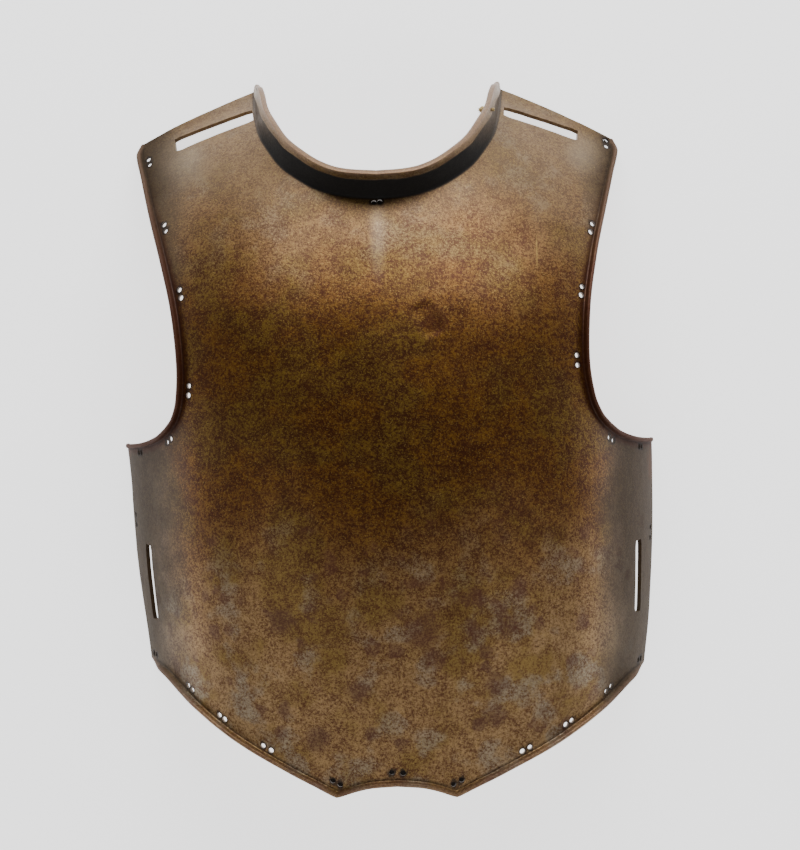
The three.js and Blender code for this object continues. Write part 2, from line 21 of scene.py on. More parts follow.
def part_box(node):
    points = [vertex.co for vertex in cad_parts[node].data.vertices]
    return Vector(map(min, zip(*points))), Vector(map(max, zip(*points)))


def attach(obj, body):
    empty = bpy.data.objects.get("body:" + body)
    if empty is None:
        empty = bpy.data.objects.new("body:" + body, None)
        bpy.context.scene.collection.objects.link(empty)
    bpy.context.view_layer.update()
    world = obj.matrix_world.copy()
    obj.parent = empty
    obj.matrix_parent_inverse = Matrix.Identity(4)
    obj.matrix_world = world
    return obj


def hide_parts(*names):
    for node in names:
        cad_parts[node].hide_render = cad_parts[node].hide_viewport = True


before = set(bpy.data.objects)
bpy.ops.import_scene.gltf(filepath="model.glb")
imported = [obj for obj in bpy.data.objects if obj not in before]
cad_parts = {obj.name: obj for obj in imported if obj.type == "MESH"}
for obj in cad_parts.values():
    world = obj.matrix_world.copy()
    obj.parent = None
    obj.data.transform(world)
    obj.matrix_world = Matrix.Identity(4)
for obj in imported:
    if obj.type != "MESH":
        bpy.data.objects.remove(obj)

MM = 0.001
SEARCH_STEPS = 40
log = logging.getLogger("breastplate")


# ---------------------------------------------------------------- tables and small curves


class Table:
    """Rows of sizes with named columns, read between its rows along a smooth curve."""

    def __init__(self, columns: str, rows: Sequence[Sequence[float]]) -> None:
        """Keeps the rows by column.

        Args:
            columns: The columns' names, with the one that is looked up first.
            rows: One row of numbers for each place.
        """
        names = columns.split()
        self.columns = {name: np.array([row[i] for row in rows], float) for i, name in enumerate(names)}
        self.key = names[0]

    def look(self, column: str, at: np.ndarray) -> np.ndarray:
        """Reads a column at given places, held at the table's ends.

        Args:
            column: The column to read.
            at: Places along the first column.

        Returns:
            The column's values there.
        """
        key, value = self.columns[self.key], self.columns[column]
        last = len(key) - 1
        x = np.clip(np.asarray(at, float), key[0], key[last])
        i = np.clip(np.searchsorted(key, x, side="left") - 1, 0, last - 1)
        before, after = np.maximum(np.arange(last + 1) - 1, 0), np.minimum(np.arange(last + 1) + 1, last)
        slope = (value[after] - value[before]) / (key[after] - key[before])
        span, rise = key[i + 1] - key[i], value[i + 1] - value[i]
        t = (x - key[i]) / span
        bow = (1 - t) * (slope[i] * span - rise) - t * (slope[i + 1] * span - rise)
        return value[i] + t * rise + t * (1 - t) * bow


def smoothstep(value: np.ndarray, low: float, high: float) -> np.ndarray:
    """Rises smoothly from 0 at `low` to 1 at `high`.

    Args:
        value: Where to read the step.
        low: Where it starts.
        high: Where it ends.

    Returns:
        The step's values.
    """
    share = np.clip((np.asarray(value, float) - low) / (high - low), 0.0, 1.0)
    return share * share * (3.0 - 2.0 * share)


def unit(vectors: np.ndarray) -> np.ndarray:
    """Scales each row to length 1."""
    return vectors / np.linalg.norm(vectors, axis=-1, keepdims=True)


def travelled(points: np.ndarray) -> np.ndarray:
    """Distance along a line of points, from its first one."""
    return np.concatenate([[0.0], np.cumsum(np.linalg.norm(np.diff(points, axis=0), axis=1))])


def steps(start: float, stop: float, cells: int, growth: float = 1.0) -> np.ndarray:
    """Numbers from one value to another.

    Args:
        start: The first number.
        stop: The last number.
        cells: How many steps there are.
        growth: Over 1 makes the last steps the shortest.

    Returns:
        The numbers, one more than there are steps.
    """
    return stop + (start - stop) * (1 - np.arange(cells + 1) / cells) ** growth


def smooth_path(points: np.ndarray, cells: int, growth: float = 1.0) -> np.ndarray:
    """A smooth path through outline points.

    Args:
        points: Rows of across and height.
        cells: How many cells the new path has.
        growth: Over 1 makes the first cells the shortest.

    Returns:
        Rows of across and height, one more than there are cells.
    """
    along = travelled(points)
    table = Table("along across height", np.column_stack([along, points]))
    at = along[-1] * (np.arange(cells + 1) / cells) ** growth
    return np.column_stack([table.look("across", at), table.look("height", at)])


def wander(points: np.ndarray, size: float, seed: float) -> np.ndarray:
    """Smooth noise from about -1 to 1 at each point.

    Args:
        points: Rows of two or three coordinates, in millimetres.
        size: The noise's grain in millimetres.
        seed: Moves the noise, so that two uses differ.

    Returns:
        One number for each point.
    """
    rows = np.zeros((len(points), 3))
    rows[:, : points.shape[1]] = points / size
    rows[:, 2] += seed
    return np.array([noise.noise(Vector(row)) for row in rows])


# ---------------------------------------------------------------- the sheet's form

STATIONS = Table(
    "station crown half",
    [
        (-290, 66, 145.5),
        (-235, 88, 156.5),
        (-190, 103, 163),
        (-146, 115, 169),
        (-75, 128, 176),
        (-3, 133, 179),
        (41, 130, 182),
        (95, 118, 185),
        (163, 88, 189),
        (192, 71, 191),
        (220, 49, 192),
        (241, 26, 194),
        (252.5, 9, 196),
        (263.8, -4.5, 196),
    ],
)
MIDDLE_LINE = Table(
    "height shift",
    [(-240, 1.5), (-145, 3.7), (-75, 1.8), (-20, 0.4), (30, -3), (95, -5.9), (150, -7.2), (245, -6.4)],
)


@dataclass(frozen=True)
class Dent:
    """A blow's mark in the front of the sheet, in millimetres."""

    across: float
    height: float
    length: float
    width: float
    turn: float
    depth: float
    edge: float
    squareness: float = 4.0

    def sink(self, across: np.ndarray, height: np.ndarray) -> np.ndarray:
        """How far the sheet is sunk at given places.

        Args:
            across: Distances from the middle line.
            height: Heights.

        Returns:
            Depths, 0 away from the dent.
        """
        c, s = math.cos(math.radians(self.turn)), math.sin(math.radians(self.turn))
        x, y = across - self.across, height - self.height
        long, short = np.abs(x * c + y * s) * 2 / self.length, np.abs(y * c - x * s) * 2 / self.width
        reach = (long**self.squareness + short**self.squareness) ** (1 / self.squareness)
        return self.depth * (1 - smoothstep(reach, 1 - self.edge, 1 + self.edge))


@dataclass
class SheetForm:
    """The hammered form of the sheet: a row of flattened ellipses that sweep down near the shoulders."""

    wall: float = 2.6
    power: float = 2.4
    drop: float = 60.0
    foot: float = 5.0
    sweep: float = 0.419
    sweep_start: float = 55.0
    sweep_span: float = 190.0
    sweep_round: float = 40.0
    ridge_height: float = 2.0
    ridge_width: float = 22.0
    ridge_fades: tuple[float, float, float, float] = (-170.0, -50.0, 170.0, 230.0)
    widest: float = 0.9999
    hammering: float = 0.32
    hammer_grain: float = 34.0
    planishing: float = 0.1
    planish_grain: float = 11.0
    dents: tuple[Dent, ...] = (
        Dent(30.6, 77.8, 21, 13.5, 114, 0.5, 0.16, 5),
        Dent(40.5, -11, 22, 5.5, 118, 0.7, 0.5),
        Dent(53, -6, 15, 9, 20, 0.5, 0.6),
        Dent(-64, -118, 30, 20, 15, 0.5, 0.8),
        Dent(72, -150, 34, 22, 140, 0.6, 0.8),
        Dent(-20, 24, 46, 30, 80, 0.5, 0.9),
        Dent(-96, 118, 34, 24, 60, 0.5, 0.9),
        Dent(92, 132, 26, 18, 20, 0.4, 0.9),
    )

    def section(self, station: np.ndarray) -> tuple[np.ndarray, np.ndarray, np.ndarray]:
        """The flattened ellipse of each cross section.

        Args:
            station: Where the sections are crowned.

        Returns:
            Full height, spread to the side, and the angle at which the sheet ends.
        """
        full = STATIONS.look("crown", station) + self.drop
        half = STATIONS.look("half", station)
        foot = (self.drop - self.foot) / full
        spread = half / (1 - foot**self.power) ** (1 / self.power)
        return full, spread, np.arcsin(half / spread)

    def sweep_at(self, across: np.ndarray, station: np.ndarray) -> np.ndarray:
        """How much lower than its station a point lies."""
        share = smoothstep(station, self.sweep_start, self.sweep_start + self.sweep_span)
        return self.sweep * share * (np.hypot(across, self.sweep_round) - self.sweep_round)

    def station_of(self, across: np.ndarray, height: np.ndarray) -> np.ndarray:
        """The station of points given by distance from the middle line and height.

        Args:
            across: Distances from the middle line.
            height: Heights.

        Returns:
            Stations.
        """
        station = np.array(height, float)
        for _ in range(SEARCH_STEPS):
            station = height + self.sweep_at(across, station)
        return station

    def front_z(self, across: np.ndarray, station: np.ndarray) -> np.ndarray:
        """How far the smooth front face stands above the rest plane.

        Args:
            across: Distances from the middle line.
            station: Stations.

        Returns:
            Heights above the rest plane.
        """
        full, spread, _ = self.section(station)
        share = np.minimum(np.abs(across) / spread, self.widest)
        starts, grown, falls, gone = self.ridge_fades
        fade = smoothstep(station, starts, grown) * (1 - smoothstep(station, falls, gone))
        ridge = self.ridge_height * fade * np.exp(-((across / self.ridge_width) ** 2))
        return full * (1 - share**self.power) ** (1 / self.power) - self.drop + ridge

    def smooth_point(self, across: np.ndarray, station: np.ndarray) -> np.ndarray:
        """Points of the front face before any hammer marks.

        Args:
            across: Distances from the middle line.
            station: Stations.

        Returns:
            Rows of x, y and z.
        """
        height = station - self.sweep_at(across, station)
        shift = MIDDLE_LINE.look("shift", height)
        return np.column_stack([across + shift, height, self.front_z(across, station)])

    def normal(self, across: np.ndarray, station: np.ndarray) -> np.ndarray:
        """Unit normals of the smooth front face.

        Args:
            across: Distances from the middle line.
            station: Stations.

        Returns:
            Rows of x, y and z.
        """
        along_x = self.smooth_point(across + 0.5, station) - self.smooth_point(across - 0.5, station)
        along_y = self.smooth_point(across, station + 0.5) - self.smooth_point(across, station - 0.5)
        return unit(np.cross(along_x, along_y))

    def relief(self, across: np.ndarray, height: np.ndarray) -> np.ndarray:
        """Hammer marks and dents, as distance out of the smooth face.

        Args:
            across: Distances from the middle line.
            height: Heights.

        Returns:
            Distances, negative where the sheet is sunk.
        """
        places = np.column_stack([across, height])
        marks = self.hammering * wander(places, self.hammer_grain, 3.1)
        marks = marks + self.planishing * wander(places, self.planish_grain, 7.7)
        return marks - sum(dent.sink(across, height) for dent in self.dents)

    def vertices(self, girth: np.ndarray) -> tuple[np.ndarray, np.ndarray]:
        """Points of the hammered sheet by girth, the share of a section's half arc, with the station.

        Args:
            girth: Rows of girth share and station.

        Returns:
            The points and the unit normals there.
        """
        _, spread, foot_angle = self.section(girth[:, 1])
        across = spread * np.sin(girth[:, 0] * foot_angle)
        normal = self.normal(across, girth[:, 1])
        point = self.smooth_point(across, girth[:, 1])
        return point + normal * self.relief(across, point[:, 1])[:, None], normal

    def girth_of(self, outline: np.ndarray) -> np.ndarray:
        """Girth and station of outline points.

        Args:
            outline: Rows of across and height.

        Returns:
            Rows of girth share and station.
        """
        station = self.station_of(outline[:, 0], outline[:, 1])
        _, spread, foot_angle = self.section(station)
        return np.column_stack([np.arcsin(outline[:, 0] / spread) / foot_angle, station])


# ---------------------------------------------------------------- the outline and its turned edges

NOTCH = np.array([(0, -222.5), (17, -223.7), (28, -226.2), (39, -230)], float)
FLANK = np.array([(39, -230), (52, -223.2), (68, -215), (105, -194.5), (133, -174.2), (156, -153.8)], float)
ARMPIT = np.array([(163, -3.6), (151, 0.6), (143.5, 6.5)], float)
ARMHOLE = np.array(
    [
        (143.5, 6.5),
        (138, 13.5),
        (133.2, 27),
        (131, 52),
        (133.8, 88),
        (140, 120),
        (147.6, 150),
        (154.6, 178),
        (158.6, 194),
    ],
    float,
)
NECK = np.array(
    [
        (83.3, 222),
        (79.8, 205.5),
        (72.8, 193),
        (64, 181.5),
        (53, 172.8),
        (41, 165.8),
        (29, 161.5),
        (16, 159),
        (0, 157.8),
    ],
    float,
)
COLLAR = Table(
    "travelled reach bend hem_width hem",
    [
        (0, 5.5, 42, 3.6, 1),
        (6, 9.5, 52, 6.5, 1.5),
        (20, 17, 58, 9, 1.5),
        (38, 21.2, 57, 8, 1.5),
        (72, 24.4, 61, 6.3, 1.5),
        (106, 25.2, 68, 5.4, 1.5),
        (138, 25.5, 74, 5, 1.5),
        (168, 25.6, 75.5, 5, 1.5),
    ],
)
TURN_COLUMNS = ("reach", "bend", "hem_width", "hem")
PLAIN_TURN = np.array([1.2, 0, 0.3, 0])
ARMHOLE_TURN = np.array([5.8, 88, 1.2, 0])
BOTTOM_TURN = np.array([6.4, 84, 1.4, 0])


class EdgeName(Enum):
    """The edges of one side, in order round the plate from the middle of its bottom."""

    NOTCH = "notch"
    FLANK = "flank"
    SIDE = "side"
    ARMPIT = "armpit"
    ARMHOLE = "armhole"
    SHOULDER = "shoulder"
    NECK = "neck"


@dataclass
class Edge:
    """One edge of the sheet: its places in girth, points, normals and turned edges, one row for each."""

    girth: np.ndarray
    point: np.ndarray
    normal: np.ndarray
    turn: np.ndarray

    def part(self, rows: slice) -> "Edge":
        """Some of the edge's rows."""
        return Edge(self.girth[rows], self.point[rows], self.normal[rows], self.turn[rows])

    def reversed(self) -> "Edge":
        """The edge in the other direction."""
        return self.part(slice(None, None, -1))

    @staticmethod
    def chain(edges: Sequence["Edge"]) -> "Edge":
        """Several edges one after another.

        Args:
            edges: The edges, in order.

        Returns:
            One edge with all their rows.
        """
        return Edge(*(np.concatenate([getattr(e, name) for e in edges]) for name in Edge.__annotations__))

    def place(self, distance: float, side: float) -> tuple[np.ndarray, np.ndarray, np.ndarray, np.ndarray]:
        """A place on the edge.

        Args:
            distance: How far it lies along the edge.
            side: 1 where the plate is left of the edge's direction, -1 where it is right of it.

        Returns:
            Its point, normal, direction along the edge and direction outwards.
        """
        along = travelled(self.point)
        k = int(np.clip(np.searchsorted(along, distance), 1, len(along) - 1))
        share = (distance - along[k - 1]) / (along[k] - along[k - 1])
        low, high = max(k - 3, 0), min(k + 2, len(along) - 1)
        direction = unit(self.point[high] - self.point[low])
        point = self.point[k - 1] + share * (self.point[k] - self.point[k - 1])
        normal = unit(self.normal[k - 1] + share * (self.normal[k] - self.normal[k - 1]))
        return point, normal, direction, unit(np.cross(direction, normal)) * side


@dataclass
class Outline:
    """The plate's outline, built edge by edge on the sheet's form."""

    form: SheetForm
    refine: int = 5
    heel_height: float = -148.3
    horn_height: float = -4.8
    tip_across: float = 157.5
    collar_across: float = 85.0
    rest_depth: float = 2.0
    bottom_skew: float = 3.4
    armhole_fade: float = 20.0
    heel_fade: float = 40.0
    side_search: tuple[float, float] = (120.0, 185.0)
    shoulder_search: tuple[float, float] = (180.0, 266.0)
    shoulder_growth: float = 1.5
    neck_growth: float = 1.3
    cells: dict[EdgeName, int] = field(
        default_factory=lambda: dict(zip(EdgeName, (4, 19, 11, 7, 20, 5, 11), strict=True))
    )

    def rest_place(self, fixed: float, low: float, high: float, fixed_is_height: bool) -> float:
        """Where the sheet's front comes down to its resting edge.

        Args:
            fixed: The height, or the distance from the middle line, that is given.
            low: The search's start.
            high: The search's end.
            fixed_is_height: Whether the given number is the height.

        Returns:
            The other one of the two.
        """
        for _ in range(SEARCH_STEPS):
            middle = (low + high) / 2
            across, height = (middle, fixed) if fixed_is_height else (fixed, middle)
            station = self.form.station_of(np.array([across]), np.array([height]))
            above = self.form.front_z(np.array([across]), station)[0] > -self.rest_depth
            low, high = (middle, high) if above else (low, middle)
        return (low + high) / 2

    def rest_across(self, height: float) -> float:
        """Distance from the middle line of the rear side edge at a height."""
        return self.rest_place(height, *self.side_search, True)

    def rest_height(self, across: float) -> float:
        """Height of the shoulder's edge at a distance from the middle line."""
        return self.rest_place(across, *self.shoulder_search, False)

    def paths(self, side: int) -> dict[EdgeName, np.ndarray]:
        """The outline points of one side's edges.

        Args:
            side: 1 for the right side, -1 for the left.

        Returns:
            Rows of across and height for each edge.
        """
        cells = {name: count * self.refine for name, count in self.cells.items()}

        def skewed(points: np.ndarray) -> np.ndarray:
            """The bottom's points, lower on the right and higher on the left."""
            drop = side * self.bottom_skew * (points[:, 0] / self.tip_across) ** 2
            return np.column_stack([points[:, 0], points[:, 1] - drop])

        heel_height = self.heel_height - side * self.bottom_skew
        heel = (self.rest_across(heel_height), heel_height)
        horn = (self.rest_across(self.horn_height), self.horn_height)
        tip = (self.tip_across, self.rest_height(self.tip_across))
        collar_end = (self.collar_across, self.rest_height(self.collar_across))
        side_heights = steps(heel_height, self.horn_height, cells[EdgeName.SIDE])
        shoulder_cells, neck_cells = cells[EdgeName.SHOULDER], cells[EdgeName.NECK]
        shoulder = steps(self.tip_across, self.collar_across, shoulder_cells, self.shoulder_growth)
        return {
            EdgeName.NOTCH: smooth_path(skewed(NOTCH), cells[EdgeName.NOTCH]),
            EdgeName.FLANK: smooth_path(np.vstack([skewed(FLANK), heel]), cells[EdgeName.FLANK]),
            EdgeName.SIDE: np.array([(self.rest_across(h), h) for h in side_heights]),
            EdgeName.ARMPIT: smooth_path(np.vstack([horn, ARMPIT]), cells[EdgeName.ARMPIT]),
            EdgeName.ARMHOLE: smooth_path(np.vstack([ARMHOLE, tip]), cells[EdgeName.ARMHOLE]),
            EdgeName.SHOULDER: np.array([(a, self.rest_height(a)) for a in shoulder]),
            EdgeName.NECK: smooth_path(np.vstack([collar_end, NECK]), neck_cells, self.neck_growth),
        }

    def turns(self, name: EdgeName, along: np.ndarray) -> np.ndarray:
        """The turned edge at each place of an edge.

        Args:
            name: The edge.
            along: Distances along it.

        Returns:
            Rows of reach, bend, hem width and hem.
        """
        total = along[-1]
        full, share = {
            EdgeName.NOTCH: (BOTTOM_TURN, np.ones_like(along)),
            EdgeName.FLANK: (BOTTOM_TURN, smoothstep((total - along) / self.heel_fade, 0, 1)),
            EdgeName.ARMPIT: (ARMHOLE_TURN, smoothstep(along / self.armhole_fade, 0, 1)),
            EdgeName.ARMHOLE: (ARMHOLE_TURN, smoothstep((total - along) / self.armhole_fade, 0, 1)),
        }.get(name, (PLAIN_TURN, np.ones_like(along)))
        if name is EdgeName.NECK:
            return np.column_stack([COLLAR.look(column, along) for column in TURN_COLUMNS])
        return PLAIN_TURN + share[:, None] * (full - PLAIN_TURN)

    def half(self, side: int) -> dict[EdgeName, Edge]:
        """One side's edges.

        Args:
            side: 1 for the right side, -1 for the left.

        Returns:
            The edges by name.
        """
        edges = {}
        for name, path in self.paths(side).items():
            girth = self.form.girth_of(path * (side, 1))
            point, normal = self.form.vertices(girth)
            edges[name] = Edge(girth, point, normal, self.turns(name, travelled(point)))
        return edges


@dataclass
class TurnedEdge:
    """The section of an edge that is bent forward, with a hem folded back on the collar's."""

    wall: float
    arc: float = 3.6
    arc_share: float = 0.6
    full_hem: float = 1.5
    bend_points: int = 5
    sheet_points: int = 6
    ragged: float = 0.9
    crack: float = 0.45

    @property
    def hem_row(self) -> int:
        """The section's point at the hem's raw edge."""
        return self.bend_points + self.sheet_points

    @property
    def lip_row(self) -> int:
        """The section's outermost point."""
        return self.hem_row + 7

    def bend_length(self, reach: np.ndarray) -> np.ndarray:
        """How much of the turned sheet is taken up by its bend."""
        return np.minimum(self.arc, reach * self.arc_share)

    def place(self, turn: np.ndarray, distance: np.ndarray, offset: np.ndarray) -> np.ndarray:
        """Places on the section.

        Args:
            turn: Rows of reach, bend, hem width and hem.
            distance: How far along the bent sheet, for each row.
            offset: How far from the middle of the wall towards the front, for each row.

        Returns:
            Rows of distance out of the sheet and up from its front face.
        """
        angle = np.radians(np.maximum(turn[:, 1], 0.01))
        arc = self.bend_length(turn[:, 0])
        radius = arc / angle
        turned = np.minimum(distance, arc) / radius
        straight = np.maximum(distance - arc, 0)
        out = radius * np.sin(turned) + straight * np.cos(turned) - offset * np.sin(turned)
        up = radius * (1 - np.cos(turned)) + straight * np.sin(turned) + offset * np.cos(turned)
        return np.column_stack([out, up - self.wall / 2])

    def rows(self, turn: np.ndarray, along: np.ndarray) -> list[tuple[np.ndarray, np.ndarray]]:
        """Distances and offsets of the section's points, from the front face round to the hollow one.

        Args:
            turn: Rows of reach, bend, hem width and hem.
            along: Distances along the rim, which place the raggedness of the hem.

        Returns:
            One pair for each point of the section.
        """
        reach, hem_width, hem = turn[:, 0], turn[:, 2], turn[:, 3]
        arc, front = self.bend_length(reach), self.wall / 2
        trail = np.column_stack([along, np.zeros_like(along)])
        folded = np.clip(hem / self.full_hem, 0, 1)
        rag = folded * self.ragged * (wander(trail, 13, 1.3) + 0.6 * wander(trail, 5, 4.9))
        lift = folded * (0.5 + 0.5 * np.clip(wander(trail, 9, 8.2) * 1.6, -1, 1))
        start = np.maximum(reach - hem_width + rag, arc + (reach - arc) * 0.2)
        width = np.maximum(reach - start, 0.25)
        bend = [arc * (i + 1) / self.bend_points for i in range(self.bend_points)]
        flat = [arc + (start - arc) * (i + 1) / self.sheet_points for i in range(self.sheet_points)]
        middle = self.sheet_points - 1
        rows = [(d, np.full_like(d, front)) for d in bend + flat[:middle]]
        gap = self.crack * folded
        rows += [
            (start - 0.3 * folded, front - gap * 0.2),
            (start + 0.15 * folded, front - gap),
            (start + np.minimum(0.3, width * 0.1) * folded, front + hem * 0.55 + gap * lift),
            (start + np.minimum(0.8, width * 0.2), front + hem * 0.92 + gap * lift),
            (start + width * 0.55, front + hem * (1 + 0.1 * lift)),
            (start + width * 0.85, front + hem),
        ]
        centre, half = hem / 2, front + hem / 2
        for angle in (60, 30, 0, -30, -60):
            turned = math.radians(angle)
            rows.append((reach + self.wall * 0.3 * math.cos(turned), centre + half * math.sin(turned)))
        back = [arc + (reach - arc) * share for share in (0.85, 0.6, 0.4, 0.2, 0.0)]
        back += [arc * share for share in (0.75, 0.5, 0.25)]
        return rows + [(d, np.full_like(d, -front)) for d in back]

    def strips(self, rim: Edge) -> np.ndarray:
        """The rim's sections as points.

        Args:
            rim: The whole rim, anticlockwise.

        Returns:
            An array by rim place, section point and coordinate.
        """
        ahead = unit(np.roll(rim.point, -1, axis=0) - rim.point)
        outward = np.cross(ahead + np.roll(ahead, 1, axis=0), rim.normal)
        weights = (0.25, 0.5, 0.25)
        for _ in range(2):
            outward = sum(w * np.roll(unit(outward), k, axis=0) for k, w in zip((-1, 0, 1), weights))
        outward = unit(outward)
        strips = []
        for distance, offset in self.rows(rim.turn, travelled(rim.point)):
            placed = self.place(rim.turn, distance, offset)
            strips.append(rim.point + outward * placed[:, :1] + rim.normal * placed[:, 1:])
        return np.stack(strips, axis=1)


# ---------------------------------------------------------------- slots and holes


@dataclass(frozen=True)
class Slot:
    """A strap slot, cut square to the sheet, in millimetres and degrees."""

    side: int
    across: float
    height: float
    turn: float
    length: float
    width: float


@dataclass(frozen=True)
class Pair:
    """A pair of lining holes: its edge, how far along it, its inset, its spacing, and whether a dark plug
    of painted shade fills it.
    """

    edge: EdgeName
    side: int
    along: float
    inset: float
    gap: float
    shade_plugged: bool = False


SLOTS = (
    Slot(-1, 110.3, 210.6, 20, 57, 14),
    Slot(1, 111, 212.8, -18.3, 53.5, 11.5),
    Slot(-1, 164.1, -94, -85, 51, 11),
    Slot(1, 163, -93.5, 89, 49, 11),
)
PAIRS = (
    Pair(EdgeName.NOTCH, 1, 0, 4.4, 7.5, True),
    Pair(EdgeName.FLANK, -1, 3, 4.4, 5.5, True),
    Pair(EdgeName.FLANK, -1, 54, 2.4, 6.2),
    Pair(EdgeName.FLANK, -1, 92, 2.6, 4.8),
    Pair(EdgeName.FLANK, -1, 125, 3, 5),
    Pair(EdgeName.FLANK, -1, 178, 3.4, 6),
    Pair(EdgeName.FLANK, 1, 3, 4.2, 6, True),
    Pair(EdgeName.FLANK, 1, 53, 2.4, 5.8),
    Pair(EdgeName.FLANK, 1, 88, 2.6, 5.2),
    Pair(EdgeName.FLANK, 1, 128, 3, 6),
    Pair(EdgeName.FLANK, 1, 175, 3.4, 6),
    Pair(EdgeName.SIDE, -1, 93, 12, 7),
    Pair(EdgeName.SIDE, 1, 87, 12, 7),
    Pair(EdgeName.ARMPIT, -1, 39, 2.6, 5.4),
    Pair(EdgeName.ARMPIT, -1, 84, 3.4, 4.8),
    Pair(EdgeName.ARMPIT, 1, 38, 2.4, 5),
    Pair(EdgeName.ARMPIT, 1, 81, 4, 5),
    Pair(EdgeName.ARMHOLE, -1, 33, 4.6, 6.2),
    Pair(EdgeName.ARMHOLE, -1, 97, 4.4, 6),
    Pair(EdgeName.ARMHOLE, -1, 151, 4.4, 5.6),
    Pair(EdgeName.ARMHOLE, -1, 214, 3.4, 5),
    Pair(EdgeName.ARMHOLE, 1, 51, 4.6, 6.6),
    Pair(EdgeName.ARMHOLE, 1, 98, 2.2, 6.2),
    Pair(EdgeName.ARMHOLE, 1, 149, 2.2, 7),
    Pair(EdgeName.ARMHOLE, 1, 228, 3.2, 5),
    Pair(EdgeName.NECK, 1, 0, 2.2, 4, True),
)
COLLAR_HOLES = ((-1, 17.0, 15.0), (-1, 21.5, 16.0), (1, 52.0, 18.5))


@dataclass(frozen=True)
class CollarPlace:
    """A place in the middle of the collar's wall, in millimetres."""

    spot: np.ndarray
    through: np.ndarray
    along: np.ndarray
    thickness: float


def axes_at(at: np.ndarray, through: np.ndarray, long: np.ndarray) -> Matrix:
    """A frame whose Z runs through the sheet and whose X is along a given direction.

    Args:
        at: The origin.
        through: The way through the sheet.
        long: The direction along.

    Returns:
        The frame's matrix.
    """
    z = unit(through)
    x = unit(long - z * float(long @ z))
    y = np.cross(z, x)
    rows = [[float(x[i]), float(y[i]), float(z[i]), float(at[i])] for i in range(3)]
    return Matrix([*rows, [0, 0, 0, 1]])


def apply_modifier_result(piece: bpy.types.Object) -> None:
    """Replaces a piece's mesh by what its modifiers make of it, and removes them.

    Args:
        piece: The piece.
    """
    evaluated = piece.evaluated_get(bpy.context.evaluated_depsgraph_get())
    finished = bpy.data.meshes.new_from_object(evaluated)
    piece.modifiers.clear()
    old, piece.data = piece.data, finished
    bpy.data.meshes.remove(old)


def vertex_points(mesh: bpy.types.Mesh) -> np.ndarray:
    """The places of a mesh's vertices.

    Args:
        mesh: The mesh.

    Returns:
        Rows of x, y and z.
    """
    flat = np.empty(len(mesh.vertices) * 3)
    mesh.vertices.foreach_get("co", flat)
    return flat.reshape(-1, 3)


def join_rings(bm: bmesh.types.BMesh, rings: Sequence[list[bmesh.types.BMVert]]) -> None:
    """Joins rings of vertices into a closed tube.

    Args:
        bm: The mesh that they are in.
        rings: The rings, in order along the tube.
    """
    for near, far in zip(rings, rings[1:]):
        for i in range(len(near)):
            after = (i + 1) % len(near)
            bm.faces.new((near[i], near[after], far[after], far[i]))
    bm.faces.new(rings[0][::-1])
    bm.faces.new(rings[-1])


def link(name: str, mesh: bpy.types.Mesh) -> bpy.types.Object:
    """Puts a mesh into the scene.

    Args:
        name: The piece's name.
        mesh: Its mesh.

    Returns:
        The new object.
    """
    piece = bpy.data.objects.new(name, mesh)
    bpy.context.scene.collection.objects.link(piece)
    return piece


def finish_solid(bm: bmesh.types.BMesh, name: str) -> bpy.types.Object:
    """Turns a mesh of closed solids into a smooth piece of the scene.

    Args:
        bm: The mesh, which is used up.
        name: The piece's name.

    Returns:
        The new object.
    """
    bmesh.ops.recalc_face_normals(bm, faces=bm.faces)
    mesh = bpy.data.meshes.new(name)
    bm.to_mesh(mesh)
    bm.free()
    mesh.shade_smooth()
    return link(name, mesh)


